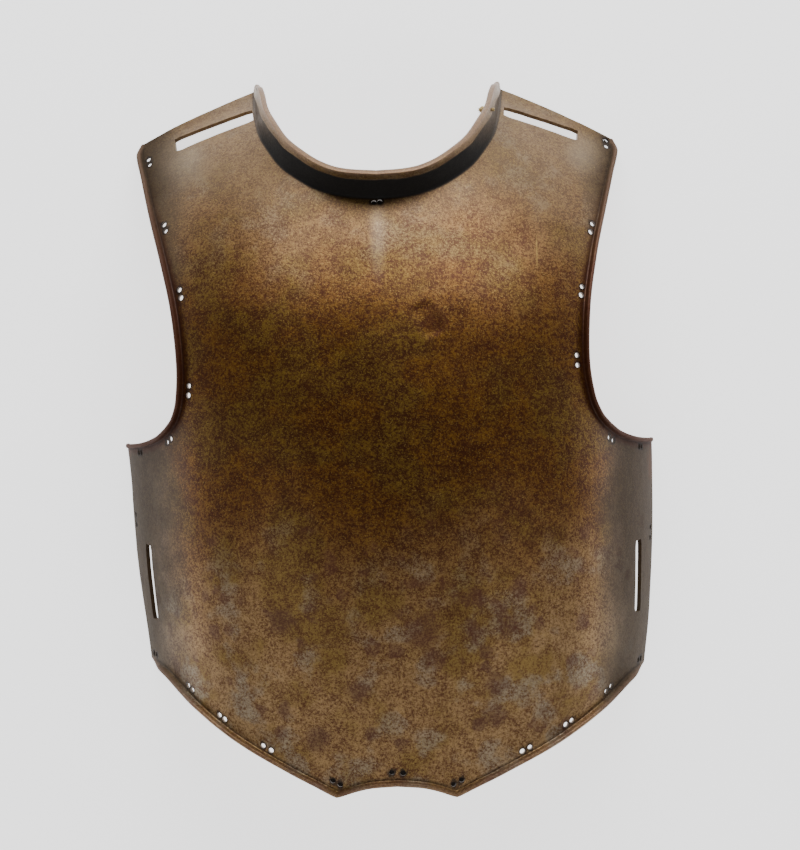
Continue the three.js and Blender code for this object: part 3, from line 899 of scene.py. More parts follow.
@dataclass
class Cutters:
    """Everything that is taken out of the plate after it is forged."""

    form: SheetForm
    halves: dict[int, dict[EdgeName, Edge]]
    lip: TurnedEdge
    depth: float = 9.0
    hole_radius: float = 1.75
    hole_sides: int = 18
    hole_taper: tuple[float, float] = (0.96, 1.06)
    hole_variety: float = 0.07
    collar_hole_radius: float = 1.3
    drill_lean: float = 1.0
    slot_rings: int = 15
    slot_waver: float = 0.25
    waver_grain: float = 9.0
    corner_width: float = 0.9
    corner_length: float = 1.2
    rest_slab: tuple[float, float, float] = (500.0, 600.0, 100.0)
    drilled: list[np.ndarray] = field(default_factory=list)
    shade_plugged: list[tuple[np.ndarray, np.ndarray, np.ndarray, float]] = field(default_factory=list)

    def collar_place(self, side: int, distance: float, up: float) -> CollarPlace:
        """A place in the collar's wall.

        Args:
            side: 1 for the right side, -1 for the left.
            distance: How far along the collar from its end.
            up: How far up the collar's sheet.

        Returns:
            The place.
        """
        neck = self.halves[side][EdgeName.NECK]
        point, normal, along, outward = neck.place(distance, side)
        turn = np.array([[float(COLLAR.look(column, distance)) for column in TURN_COLUMNS]])
        hem = turn[0, 3]

        def lifted(offset: float) -> np.ndarray:
            """The point at this offset from the middle of the wall."""
            out, rise = self.lip.place(turn, np.array([up]), np.array([offset]))[0]
            return point + outward * out + normal * rise

        spot = lifted(hem / 2)
        return CollarPlace(spot, lifted(hem / 2 + 1) - spot, along, self.form.wall + hem)

    def add_hole(self, bm: bmesh.types.BMesh, at: Matrix, radius: float, depth: float) -> None:
        """Adds one drill.

        Args:
            bm: The cutters' mesh.
            at: The hole's frame.
            radius: The hole's radius.
            depth: Half the drill's length.
        """
        bmesh.ops.create_cone(
            bm,
            cap_ends=True,
            segments=self.hole_sides,
            radius1=radius * self.hole_taper[0],
            radius2=radius * self.hole_taper[1],
            depth=2 * depth,
            matrix=at,
        )

    def add_slot(self, bm: bmesh.types.BMesh, slot: Slot, seed: float) -> None:
        """Adds the cutter of one slot, whose long sides waver as a chisel leaves them.

        Args:
            bm: The cutters' mesh.
            slot: The slot.
            seed: Sets the waver.
        """
        outline = np.array([[slot.side * slot.across, slot.height]])
        point, normal = (rows[0] for rows in self.form.vertices(self.form.girth_of(outline)))
        angle = math.radians(slot.turn)
        long = np.array([math.cos(angle), math.sin(angle), 0.0])
        long[2] = -(long[0] * normal[0] + long[1] * normal[1]) / normal[2]
        at = axes_at(point, normal, long)
        stations = np.linspace(-slot.length / 2, slot.length / 2, self.slot_rings)
        places = np.column_stack([stations, stations])
        waver = [wander(places, self.waver_grain, seed + k) for k in (0.0, 20.0)]
        ease = np.clip((slot.length / 2 - np.abs(stations)) / self.corner_length, 0, 1) ** 0.5
        rings = []
        for x, low, high, narrow in zip(stations, *waver, ease, strict=True):
            half = slot.width / 2 - self.corner_width * (1 - narrow)
            sides = (-half + self.slot_waver * low, half + self.slot_waver * high)
            corners = [(sides[i], z) for i, z in ((0, -1), (1, -1), (1, 1), (0, 1))]
            rings.append([bm.verts.new(at @ Vector((x, y, z * self.depth))) for y, z in corners])
        join_rings(bm, rings)

    def add_pair(self, bm: bmesh.types.BMesh, pair: Pair, seed: float) -> None:
        """Adds the drills of a pair of lining holes, and notes where they are.

        Args:
            bm: The cutters' mesh.
            pair: The pair.
            seed: Sets how the two holes' sizes differ.
        """
        edge, side = self.halves[pair.side][pair.edge], pair.side
        if pair.edge is EdgeName.NECK:
            edge, side = edge.reversed(), -side
        point, normal, along, outward = edge.place(pair.along, side)
        driven = unit(normal + np.array([0.0, 0.0, self.drill_lean]))
        for end in (-1, 1):
            spot = point - outward * pair.inset + along * (end * pair.gap / 2)
            radius = self.hole_radius * (1 + self.hole_variety * math.sin(seed + end))
            self.add_hole(bm, axes_at(spot, driven, along), radius, self.depth)
            self.drilled.append(spot)
            # These holes get a dark plug as painted shade.
            if pair.shade_plugged:
                self.shade_plugged.append((spot, normal, along, radius))

    def build(self) -> bpy.types.Object:
        """Makes all the cutters as one object.

        Returns:
            The object, in millimetres.
        """
        bm = bmesh.new()
        below = Matrix.Translation((0.0, 0.0, -self.rest_slab[2] / 2))
        bmesh.ops.create_cube(bm, size=1.0, matrix=below @ Matrix.Diagonal((*self.rest_slab, 1.0)))
        for k, slot in enumerate(SLOTS):
            self.add_slot(bm, slot, 3.0 + 7.0 * k)
        for k, pair in enumerate(PAIRS):
            self.add_pair(bm, pair, 5.0 * k)
        for side, distance, up in COLLAR_HOLES:
            place = self.collar_place(side, distance, up)
            at = axes_at(place.spot, place.through, place.along)
            self.add_hole(bm, at, self.collar_hole_radius, self.depth / 2)
        return finish_solid(bm, "cutters")


# ---------------------------------------------------------------- the plate


@dataclass
class Breastplate:
    """The forged plate: its sheet, its turned edges, and what is cut out of it."""

    form: SheetForm = field(default_factory=SheetForm)
    refine: int = 5
    weld: float = 1e-3
    sharp_angle: float = 38.0
    lip_reach: float = 9.0
    crease_reach: float = 3.0
    collar_reach: float = 2.5
    raw_edge_reach: float = 1.1
    hole_reach: float = 3.6

    def __post_init__(self) -> None:
        """Lays out the outline's edges on the form."""
        self.outline = Outline(self.form, self.refine)
        self.halves = {side: self.outline.half(side) for side in (1, -1)}
        self.lip = TurnedEdge(self.form.wall)
        self.cutters = Cutters(self.form, self.halves, self.lip)
        self.origin = np.zeros(3)

    def rim(self) -> Edge:
        """The whole rim once, anticlockwise from the middle of the bottom.

        Returns:
            The rim as one edge.
        """

        def loop(half: dict[EdgeName, Edge]) -> Edge:
            """One side's rim from the middle of the bottom to the middle of the neck."""
            later = [half[name].part(slice(1, None)) for name in EdgeName if name is not EdgeName.NOTCH]
            return Edge.chain([half[EdgeName.NOTCH], *later])

        return Edge.chain([loop(self.halves[1]), loop(self.halves[-1]).part(slice(1, -1)).reversed()])

    @staticmethod
    def stretch(bottom: np.ndarray, right: np.ndarray, top: np.ndarray, left: np.ndarray) -> np.ndarray:
        """A grid stretched between four edges.

        Args:
            bottom: Rows of the bottom edge, left to right.
            right: Rows of the right edge, upwards.
            top: Rows of the top edge, left to right.
            left: Rows of the left edge, upwards.

        Returns:
            An array by row, column and girth.
        """
        u = np.linspace(0, 1, len(bottom))[None, :, None]
        v = np.linspace(0, 1, len(left))[:, None, None]
        ruled = (1 - v) * bottom[None] + v * top[None] + (1 - u) * left[:, None] + u * right[:, None]
        low = (1 - u) * bottom[0] + u * bottom[-1]
        high = (1 - u) * top[0] + u * top[-1]
        grid = ruled - (1 - v) * low - v * high
        grid[0], grid[-1], grid[:, 0], grid[:, -1] = bottom, top, left, right
        return grid

    def grids(self) -> list[np.ndarray]:
        """The belly below the armholes and the chest between them, in girth.

        Returns:
            Two grids that share the waist row.
        """
        left, right = ({name: edge.girth for name, edge in self.halves[side].items()} for side in (-1, 1))

        def joined(first: EdgeName, second: EdgeName, backwards: bool) -> np.ndarray:
            """Two edges of each side as one row from left to right.

            Args:
                first: The edge that comes first round the rim.
                second: The edge after it.
                backwards: Whether they run towards the middle line.

            Returns:
                The row, in girth.
            """
            rows = []
            for half in (left, right):
                row = np.vstack([half[first], half[second][1:]])
                rows.append(row[::-1] if backwards else row)
            return np.vstack([rows[0][:0:-1], rows[1]])

        bottom = joined(EdgeName.NOTCH, EdgeName.FLANK, False)
        top = joined(EdgeName.SHOULDER, EdgeName.NECK, True)
        bends = left[EdgeName.ARMHOLE][0], right[EdgeName.ARMHOLE][0]
        share = np.linspace(0, 1, len(top))[:, None]
        waist = bends[0] + share * (bends[1] - bends[0])
        belt = np.vstack([left[EdgeName.ARMPIT][:-1], waist, right[EdgeName.ARMPIT][-2::-1]])
        return [
            self.stretch(bottom, right[EdgeName.SIDE], belt, left[EdgeName.SIDE]),
            self.stretch(waist, right[EdgeName.ARMHOLE], top, left[EdgeName.ARMHOLE]),
        ]

    def forge(self) -> bpy.types.Mesh:
        """The closed plate before anything is cut, in millimetres.

        Returns:
            The mesh.
        """
        points, faces, count = [], [], 0

        def add_grid(grid: np.ndarray, flipped: bool, wrapped: bool) -> None:
            """Adds the faces of a grid of points.

            Args:
                grid: The points by row, column and coordinate.
                flipped: Whether the faces look the other way.
                wrapped: Whether the last row joins the first one.
            """
            nonlocal count
            rows, columns = grid.shape[:2]
            index = np.arange(rows * columns).reshape(rows, columns) + count
            if wrapped:
                index = np.vstack([index, index[:1]])
            quads = np.stack([index[:-1, :-1], index[:-1, 1:], index[1:, 1:], index[1:, :-1]], axis=-1)
            faces.append(quads.reshape(-1, 4)[:, ::-1] if flipped else quads.reshape(-1, 4))
            points.append(grid.reshape(-1, 3))
            count += rows * columns

        for girth in self.grids():
            front, normal = self.form.vertices(girth.reshape(-1, 2))
            add_grid(front.reshape(*girth.shape[:2], 3), False, False)
            hollow = front - normal * self.form.wall
            add_grid(hollow.reshape(*girth.shape[:2], 3), True, False)
        rim = self.rim()
        ends = rim.point[:, None], (rim.point - rim.normal * self.form.wall)[:, None]
        add_grid(np.concatenate([ends[0], self.lip.strips(rim), ends[1]], axis=1), False, True)

        mesh = bpy.data.meshes.new("forged")
        mesh.from_pydata(np.vstack(points).tolist(), [], np.vstack(faces).tolist())
        bm = bmesh.new()
        bm.from_mesh(mesh)
        bmesh.ops.remove_doubles(bm, verts=bm.verts, dist=self.weld)
        bmesh.ops.recalc_face_normals(bm, faces=bm.faces)
        bm.to_mesh(mesh)
        bm.free()
        return mesh

    def mark_zones(self, mesh: bpy.types.Mesh) -> None:
        """Writes how near each vertex is to the rim's parts and to the holes, as one attribute for each.

        Args:
            mesh: The finished plate, in metres.
        """
        rim = self.rim()
        strips = (self.lip.strips(rim) - self.origin) * MM
        collared = np.flatnonzero(rim.turn[:, 3] > 0.9)
        bent = np.flatnonzero(rim.turn[:, 0] > 3)
        zones = {
            "lip": (strips[:, self.lip.lip_row], self.lip_reach),
            "crease": (strips[bent, 0], self.crease_reach),
            "collar": (strips[collared][:, 3 : self.lip.hem_row - 1].reshape(-1, 3), self.collar_reach),
            "raw_edge": (strips[collared, self.lip.hem_row], self.raw_edge_reach),
            "pierced": ((np.array(self.cutters.drilled) - self.origin) * MM, self.hole_reach),
        }
        vertices = vertex_points(mesh)
        for name, (points, reach) in zones.items():
            tree = kdtree.KDTree(len(points))
            for k, point in enumerate(points):
                tree.insert(point, k)
            tree.balance()
            near = [1 - min(tree.find(point)[2] / (reach * MM), 1) for point in vertices]
            mesh.attributes.new(name, "FLOAT", "POINT").data.foreach_set("value", near)

    def build(self) -> bpy.types.Object:
        """Forges and cuts the plate, and lays it in the frame.

        Returns:
            The plate.
        """
        plate = link("forged_plate", self.forge())
        cutters = self.cutters.build()
        cut = plate.modifiers.new("cut", "BOOLEAN")
        cut.operation, cut.solver, cut.object = "DIFFERENCE", "MANIFOLD", cutters
        apply_modifier_result(plate)
        bpy.data.objects.remove(cutters)
        mesh = plate.data
        points = vertex_points(mesh)
        low, high = (np.array(corner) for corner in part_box("breastplate"))
        centre = (points.min(axis=0) + points.max(axis=0)) / 2
        self.origin = centre - (low + high) / 2 / MM
        self.origin[2] = 0.0
        mesh.vertices.foreach_set("co", np.clip((points - self.origin) * MM, low, high).ravel())
        mesh.update()
        mesh.shade_smooth()
        mesh.set_sharp_from_angle(angle=math.radians(self.sharp_angle))
        self.mark_zones(mesh)
        return plate

    def dress(self, plate: bpy.types.Object) -> None:
        """Gives the plate its patina and its place in the frame.

        Args:
            plate: The plate.
        """
        IronPatina().dress(plate)
        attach(plate, "root")
        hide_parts("breastplate")


@dataclass
class ShadeHolePlugs:
    """Dark plugs in the holes at the throat, the notch and the points: painted shade, standing in for the
    dark seen through these holes.
    """

    plate: Breastplate
    thickness: float = 1.3
    sides: int = 20
    layers: tuple[tuple[float, float], ...] = ((1.0, -0.5), (1.02, 0.3), (0.7, 0.46), (0.35, 0.5))
    lumps: tuple[float, float] = (0.05, 0.04)

    def build(self) -> bpy.types.Object:
        """Makes a domed, uneven plug in each of these holes.

        Returns:
            All the plugs as one piece.
        """
        bm = bmesh.new()
        for spot, normal, along, radius in self.plate.cutters.shade_plugged:
            middle = spot - normal * self.plate.form.wall * 0.5 - self.plate.origin
            at = axes_at(middle, normal, along)
            rings = []
            for share, rise in self.layers:
                ring = []
                for i in range(self.sides):
                    angle = 2 * math.pi * i / self.sides
                    lump = self.lumps[0] * math.sin(3 * angle + 5 * rise)
                    lump += self.lumps[1] * math.sin(5 * angle + spot[0])
                    height = self.thickness * (rise + (lump if rise > 0 else 0.0))
                    reach = radius * share
                    ring.append(bm.verts.new((reach * math.cos(angle), reach * math.sin(angle), height)))
                rings.append(ring)
            join_rings(bm, rings)
            for vert in (vert for ring in rings for vert in ring):
                vert.co = at @ vert.co * MM
        return finish_solid(bm, "hole_shade_plugs")

    def dress(self, plugs: bpy.types.Object) -> None:
        """Gives the plugs their finish and their place in the frame.

        Args:
            plugs: The plugs.
        """
        HoleShadeFinish().dress(plugs)
        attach(plugs, "root")


@dataclass
class ThongKnot:
    """What is left of the hide thong that tied the lining: a knot on the neck's side of the collar."""

    plate: Breastplate
    cord: float = 0.95
    gap: float = 0.25
    stub: float = 1.3
    tuck: float = 0.4
    cord_points: int = 5
    turns: int = 3
    knot_radius: float = 1.75
    knot_start: float = 1.0
    knot_length: float = 2.6
    knot_points: int = 30
    frays: int = 9
    fray_start: float = 3.2
    fray_spread: float = 0.7
    strand_steps: tuple[float, ...] = (0, 0.35, 0.7, 1)
    strand_radii: tuple[float, ...] = (0.34, 0.28, 0.2, 0.08)

    def tube(
        self, bm: bmesh.types.BMesh, path: list[Vector], radii: Sequence[float], sides: int = 10
    ) -> None:
        """Adds a closed tube along a path.

        Args:
            bm: The mesh to add to.
            path: Points of the tube's middle line.
            radii: The radius at each point.
            sides: How many sides it has.
        """
        rings = []
        up = Vector((0.3, 0.5, 0.81)).normalized()
        for k, (point, radius) in enumerate(zip(path, radii, strict=True)):
            ahead = (path[min(k + 1, len(path) - 1)] - path[max(k - 1, 0)]).normalized()
            side = ahead.cross(up).normalized()
            up = side.cross(ahead).normalized()
            ring = []
            for i in range(sides):
                angle = 2 * math.pi * i / sides
                ring.append(bm.verts.new(point + (side * math.cos(angle) + up * math.sin(angle)) * radius))
            rings.append(ring)
        join_rings(bm, rings)

    def cord_run(self, face: float) -> tuple[list[Vector], list[float]]:
        """The cord's way: through the collar, round itself on the neck's side, and out as a stub.

        Args:
            face: How far the collar's faces lie from the middle of its wall, with the gap.

        Returns:
            The points of its middle line, and its radius at each.
        """
        path, radii = [], []
        for k in range(self.cord_points + 1):
            depth = face + self.stub - k * (face + self.stub + self.tuck) / self.cord_points
            path.append(Vector((0.15 * math.sin(k), 0.1 * math.cos(k), depth)))
            radii.append(self.cord * (1.35 if k == 0 else 1.15 if path[-1].z > face else 0.95))
        for k in range(self.knot_points + 1):
            angle = 2 * math.pi * self.turns * k / self.knot_points
            wide = self.knot_radius * (0.35 + 0.65 * math.sin(math.pi * k / self.knot_points) ** 0.6)
            depth = -face - self.knot_start - self.knot_length * k / self.knot_points
            depth += 0.35 * math.sin(2 * angle)
            path.append(Vector((wide * math.cos(angle), wide * math.sin(angle), depth)))
            radii.append(self.cord * (1.0 + 0.12 * math.sin(3.1 * k)))
        return path, radii

    def strand(self, k: int, face: float) -> list[Vector]:
        """One frayed strand at the knot's end.

        Args:
            k: Which strand.
            face: How far the collar's faces lie from the middle of its wall, with the gap.

        Returns:
            The points of its middle line.
        """
        angle, tilt = 2.4 * k, 0.5 + 0.35 * math.sin(1.7 * k)
        c, s = math.cos(angle), math.sin(angle)
        start = Vector((self.fray_spread * c, self.fray_spread * s, -face - self.fray_start))
        out = Vector((c * tilt, s * tilt, -0.75 + 0.3 * math.cos(2 * k)))
        length = 1.6 + 0.9 * math.sin(2.3 * k) ** 2
        return [start + out * length * t + Vector((0, 0, 0.5 * t * t)) for t in self.strand_steps]

    def build(self) -> bpy.types.Object:
        """Makes the cord through the collar with its knot, and the frayed strands.

        Returns:
            The knot.
        """
        side, distance, up = COLLAR_HOLES[2]
        place = self.plate.cutters.collar_place(side, distance, up)
        at = axes_at(place.spot - self.plate.origin, place.through, place.along)
        face = place.thickness / 2 + self.gap
        bm = bmesh.new()
        self.tube(bm, *self.cord_run(face))
        for k in range(self.frays):
            self.tube(bm, self.strand(k, face), self.strand_radii, 6)
        for vert in bm.verts:
            vert.co = at @ vert.co * MM
        return finish_solid(bm, "hide_knot")

    def dress(self, knot: bpy.types.Object) -> None:
        """Gives the knot its finish and its place in the frame.

        Args:
            knot: The knot.
        """
        Rawhide().dress(knot)
        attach(knot, "root")
        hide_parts("thong_knot")


# ---------------------------------------------------------------- shader building

Colour = tuple[float, float, float]
Place = tuple[float, float, float]


def tint(red: int, green: int, blue: int) -> Colour:
    """A colour given in the 0 to 255 steps of a paint chart, as linear light.

    Args:
        red: The red step.
        green: The green step.
        blue: The blue step.

    Returns:
        The colour.
    """

    def linear(level: int) -> float:
        """One channel's light, from its step."""
        share = level / 255
        return share / 12.92 if level <= 10 else ((share + 0.055) / 1.055) ** 2.4

    return linear(red), linear(green), linear(blue)


class Value:
    """One socket of a node tree, with arithmetic that adds Math nodes."""

    def __init__(self, tree: "ShaderTree", socket: bpy.types.NodeSocket) -> None:
        """Wraps a socket.

        Args:
            tree: The tree that it is in.
            socket: The output socket.
        """
        self.tree, self.socket = tree, socket

    def _math(self, operation: str, *operands: "Value | float") -> "Value":
        """A Math node's result."""
        return self.tree.add("ShaderNodeMath", {"operation": operation}, dict(enumerate(operands)))

    def __add__(self, other: "Value | float") -> "Value":
        """This value plus another."""
        return self._math("ADD", self, other)

    def __radd__(self, other: float) -> "Value":
        """A number plus this value."""
        return self._math("ADD", other, self)

    def __sub__(self, other: "Value | float") -> "Value":
        """This value less another."""
        return self._math("SUBTRACT", self, other)

    def __rsub__(self, other: float) -> "Value":
        """A number less this value."""
        return self._math("SUBTRACT", other, self)

    def __mul__(self, other: "Value | float") -> "Value":
        """This value times another."""
        return self._math("MULTIPLY", self, other)

    def __rmul__(self, other: float) -> "Value":
        """A number times this value."""
        return self._math("MULTIPLY", other, self)

    def __abs__(self) -> "Value":
        """This value without its sign."""
        return self._math("ABSOLUTE", self)

    def between(self, low: float, high: float) -> "Value":
        """A smooth step from 0 at `low` to 1 at `high`, or from 1 to 0 where `low` is the higher.

        Args:
            low: Where the step starts.
            high: Where it ends.

        Returns:
            The step.
        """
        settings = {"interpolation_type": "SMOOTHSTEP", "clamp": True}
        start, stop = (low, high) if low < high else (high, low)
        ends = (0.0, 1.0) if low < high else (1.0, 0.0)
        sockets = {"Value": self, 1: start, 2: stop, 3: ends[0], 4: ends[1]}
        return self.tree.add("ShaderNodeMapRange", settings, sockets)


class ShaderTree:
    """Builds the node tree of one material around a Principled shader."""

    def __init__(self, name: str) -> None:
        """Starts a material.

        Args:
            name: The material's name.
        """
        self.material = bpy.data.materials.new(name)
        self.material.use_nodes = True
        self.nodes = self.material.node_tree.nodes
        self.links = self.material.node_tree.links
        self.shader = next(node for node in self.nodes if node.type == "BSDF_PRINCIPLED")

    def feed(self, socket: bpy.types.NodeSocket, value: object) -> None:
        """Links or sets one socket.

        Args:
            socket: The input socket.
            value: A Value to link, or a number or colour to set.
        """
        if isinstance(value, Value):
            self.links.new(value.socket, socket)
        elif isinstance(value, tuple) and socket.type == "RGBA":
            socket.default_value = (*value[:3], 1.0)
        else:
            socket.default_value = value

    def add(
        self,
        kind: str,
        settings: dict[str, object],
        sockets: dict[str | int, object],
        out: str | int = 0,
    ) -> Value:
        """Adds any node.

        Args:
            kind: The node's type.
            settings: Its own settings, such as an operation, which are set first.
            sockets: Values or links of its sockets, by name or number.
            out: Which output is wanted.

        Returns:
            That output.
        """
        node = self.nodes.new(kind)
        for name, value in settings.items():
            setattr(node, name, value)
        for key, value in sockets.items():
            self.feed(node.inputs[key], value)
        return Value(self, node.outputs[out])

    def place(self) -> Value:
        """The place on the object, in metres."""
        return self.add("ShaderNodeTexCoord", {}, {}, "Object")

    def zone(self, name: str) -> Value:
        """How near a place is to a named part of the rim or to a hole, from 0 to 1."""
        return self.add("ShaderNodeAttribute", {"attribute_name": name}, {}, "Fac")

    def axis(self, vector: Value, name: str) -> Value:
        """One coordinate of a vector."""
        return self.add("ShaderNodeSeparateXYZ", {}, {0: vector}, name)

    def noise(self, place: Value, grain: float, detail: float, rough: float) -> Value:
        """Noise from 0 to 1.

        Args:
            place: Where to read it.
            grain: Its grain in metres.
            detail: How many finer layers it has.
            rough: How strong they are.

        Returns:
            The noise.
        """
        sockets = {"Vector": place, "Scale": 1 / grain, "Detail": detail, "Roughness": rough}
        return self.add("ShaderNodeTexNoise", {"noise_dimensions": "3D"}, sockets)

    def cells(self, place: Value, grain: float) -> Value:
        """Distance to the nearest of scattered points, as a share of their spacing in metres."""
        return self.add("ShaderNodeTexVoronoi", {"feature": "F1"}, {"Vector": place, "Scale": 1 / grain})

    def shifted(self, place: Value, by: Place) -> Value:
        """A place moved by a fixed amount."""
        return self.add("ShaderNodeVectorMath", {"operation": "ADD"}, {0: place, 1: by})

    def stretched(self, place: Value, by: Place) -> Value:
        """A place scaled along each axis."""
        return self.add("ShaderNodeVectorMath", {"operation": "MULTIPLY"}, {0: place, 1: by})

    def mix(self, share: Value | float, first: Value | Colour, second: Value | Colour) -> Value:
        """A mixture of two colours.

        Args:
            share: How much of the second there is.
            first: The first colour.
            second: The second colour.

        Returns:
            The mixture.
        """
        settings = {"data_type": "RGBA", "blend_type": "MIX"}
        return self.add("ShaderNodeMix", settings, {0: share, 6: first, 7: second}, 2)

    def spot(self, place: Value, at: Place, reach: float, fall: float = 0.0) -> Value:
        """A soft round patch, 1 in its middle.

        Args:
            place: Where to read it.
            at: Its middle, in metres.
            reach: Its radius, in metres.
            fall: The radius inside which it is full.

        Returns:
            The patch.
        """
        distance = self.add("ShaderNodeVectorMath", {"operation": "DISTANCE"}, {0: place, 1: at}, "Value")
        return distance.between(reach, fall)

    def bump(self, height: Value, strength: float, distance: float, under: Value | None = None) -> Value:
        """A bumped normal.

        Args:
            height: The relief, from 0 to 1.
            strength: How strong it is.
            distance: What 1 stands for, in metres.
            under: A bump below it.

        Returns:
            The normal.
        """
        sockets = {"Strength": strength, "Distance": distance, "Height": height}
        if under is not None:
            sockets["Normal"] = under
        return self.add("ShaderNodeBump", {}, sockets)

    def dress(self, piece: bpy.types.Object, **inputs: object) -> None:
        """Feeds the shader and puts the material on a piece.

        Args:
            piece: The piece.
            inputs: The shader's inputs, with _ for a space.
        """
        for name, value in inputs.items():
            self.feed(self.shader.inputs[name.replace("_", " ")], value)
        piece.data.materials.clear()
        piece.data.materials.append(self.material)


# ---------------------------------------------------------------- finishes


@dataclass(frozen=True)
class Blotch:
    """A round patch of a finish, as seen from the front: its middle and its radius, in metres."""

    across: float
    height: float
    radius: float

    @property
    def middle(self) -> Place:
        """Its middle, on a place whose third coordinate is 0."""
        return self.across, self.height, 0.0


@dataclass(frozen=True)
class Streak:
    """A patch that is drawn out up the plate, in metres: `draw` times as long as it is wide."""

    across: float
    height: float
    radius: float
    draw: float
    core: float = 0.0

    def on(self, tree: ShaderTree, place: Value) -> Value:
        """Where the streak shows.

        Args:
            tree: The material's tree.
            place: Where to read it.

        Returns:
            The streak, 1 in its middle.
        """
        squashed = tree.stretched(place, (1.0, 1 / self.draw, 0.0))
        middle = (self.across, self.height / self.draw, 0.0)
        return tree.spot(squashed, middle, self.radius, self.core)


@dataclass(frozen=True)
class RustSpot:
    """A patch of fresh rust: its middle and its radius in metres, and how strong it is."""

    middle: Place
    radius: float
    strength: float = 1.0


@dataclass(frozen=True)
class Ground:
    """What a finish reads of the plate: the place, its coordinates, and its slow and quick changes."""

    tree: ShaderTree
    place: Value
    across: Value
    height: Value
    drift: Value
    mottle: Value

    def waver(self, share: float) -> Value:
        """The quick change about 0, by which a soft border is broken up."""
        return (self.mottle - 0.5) * share


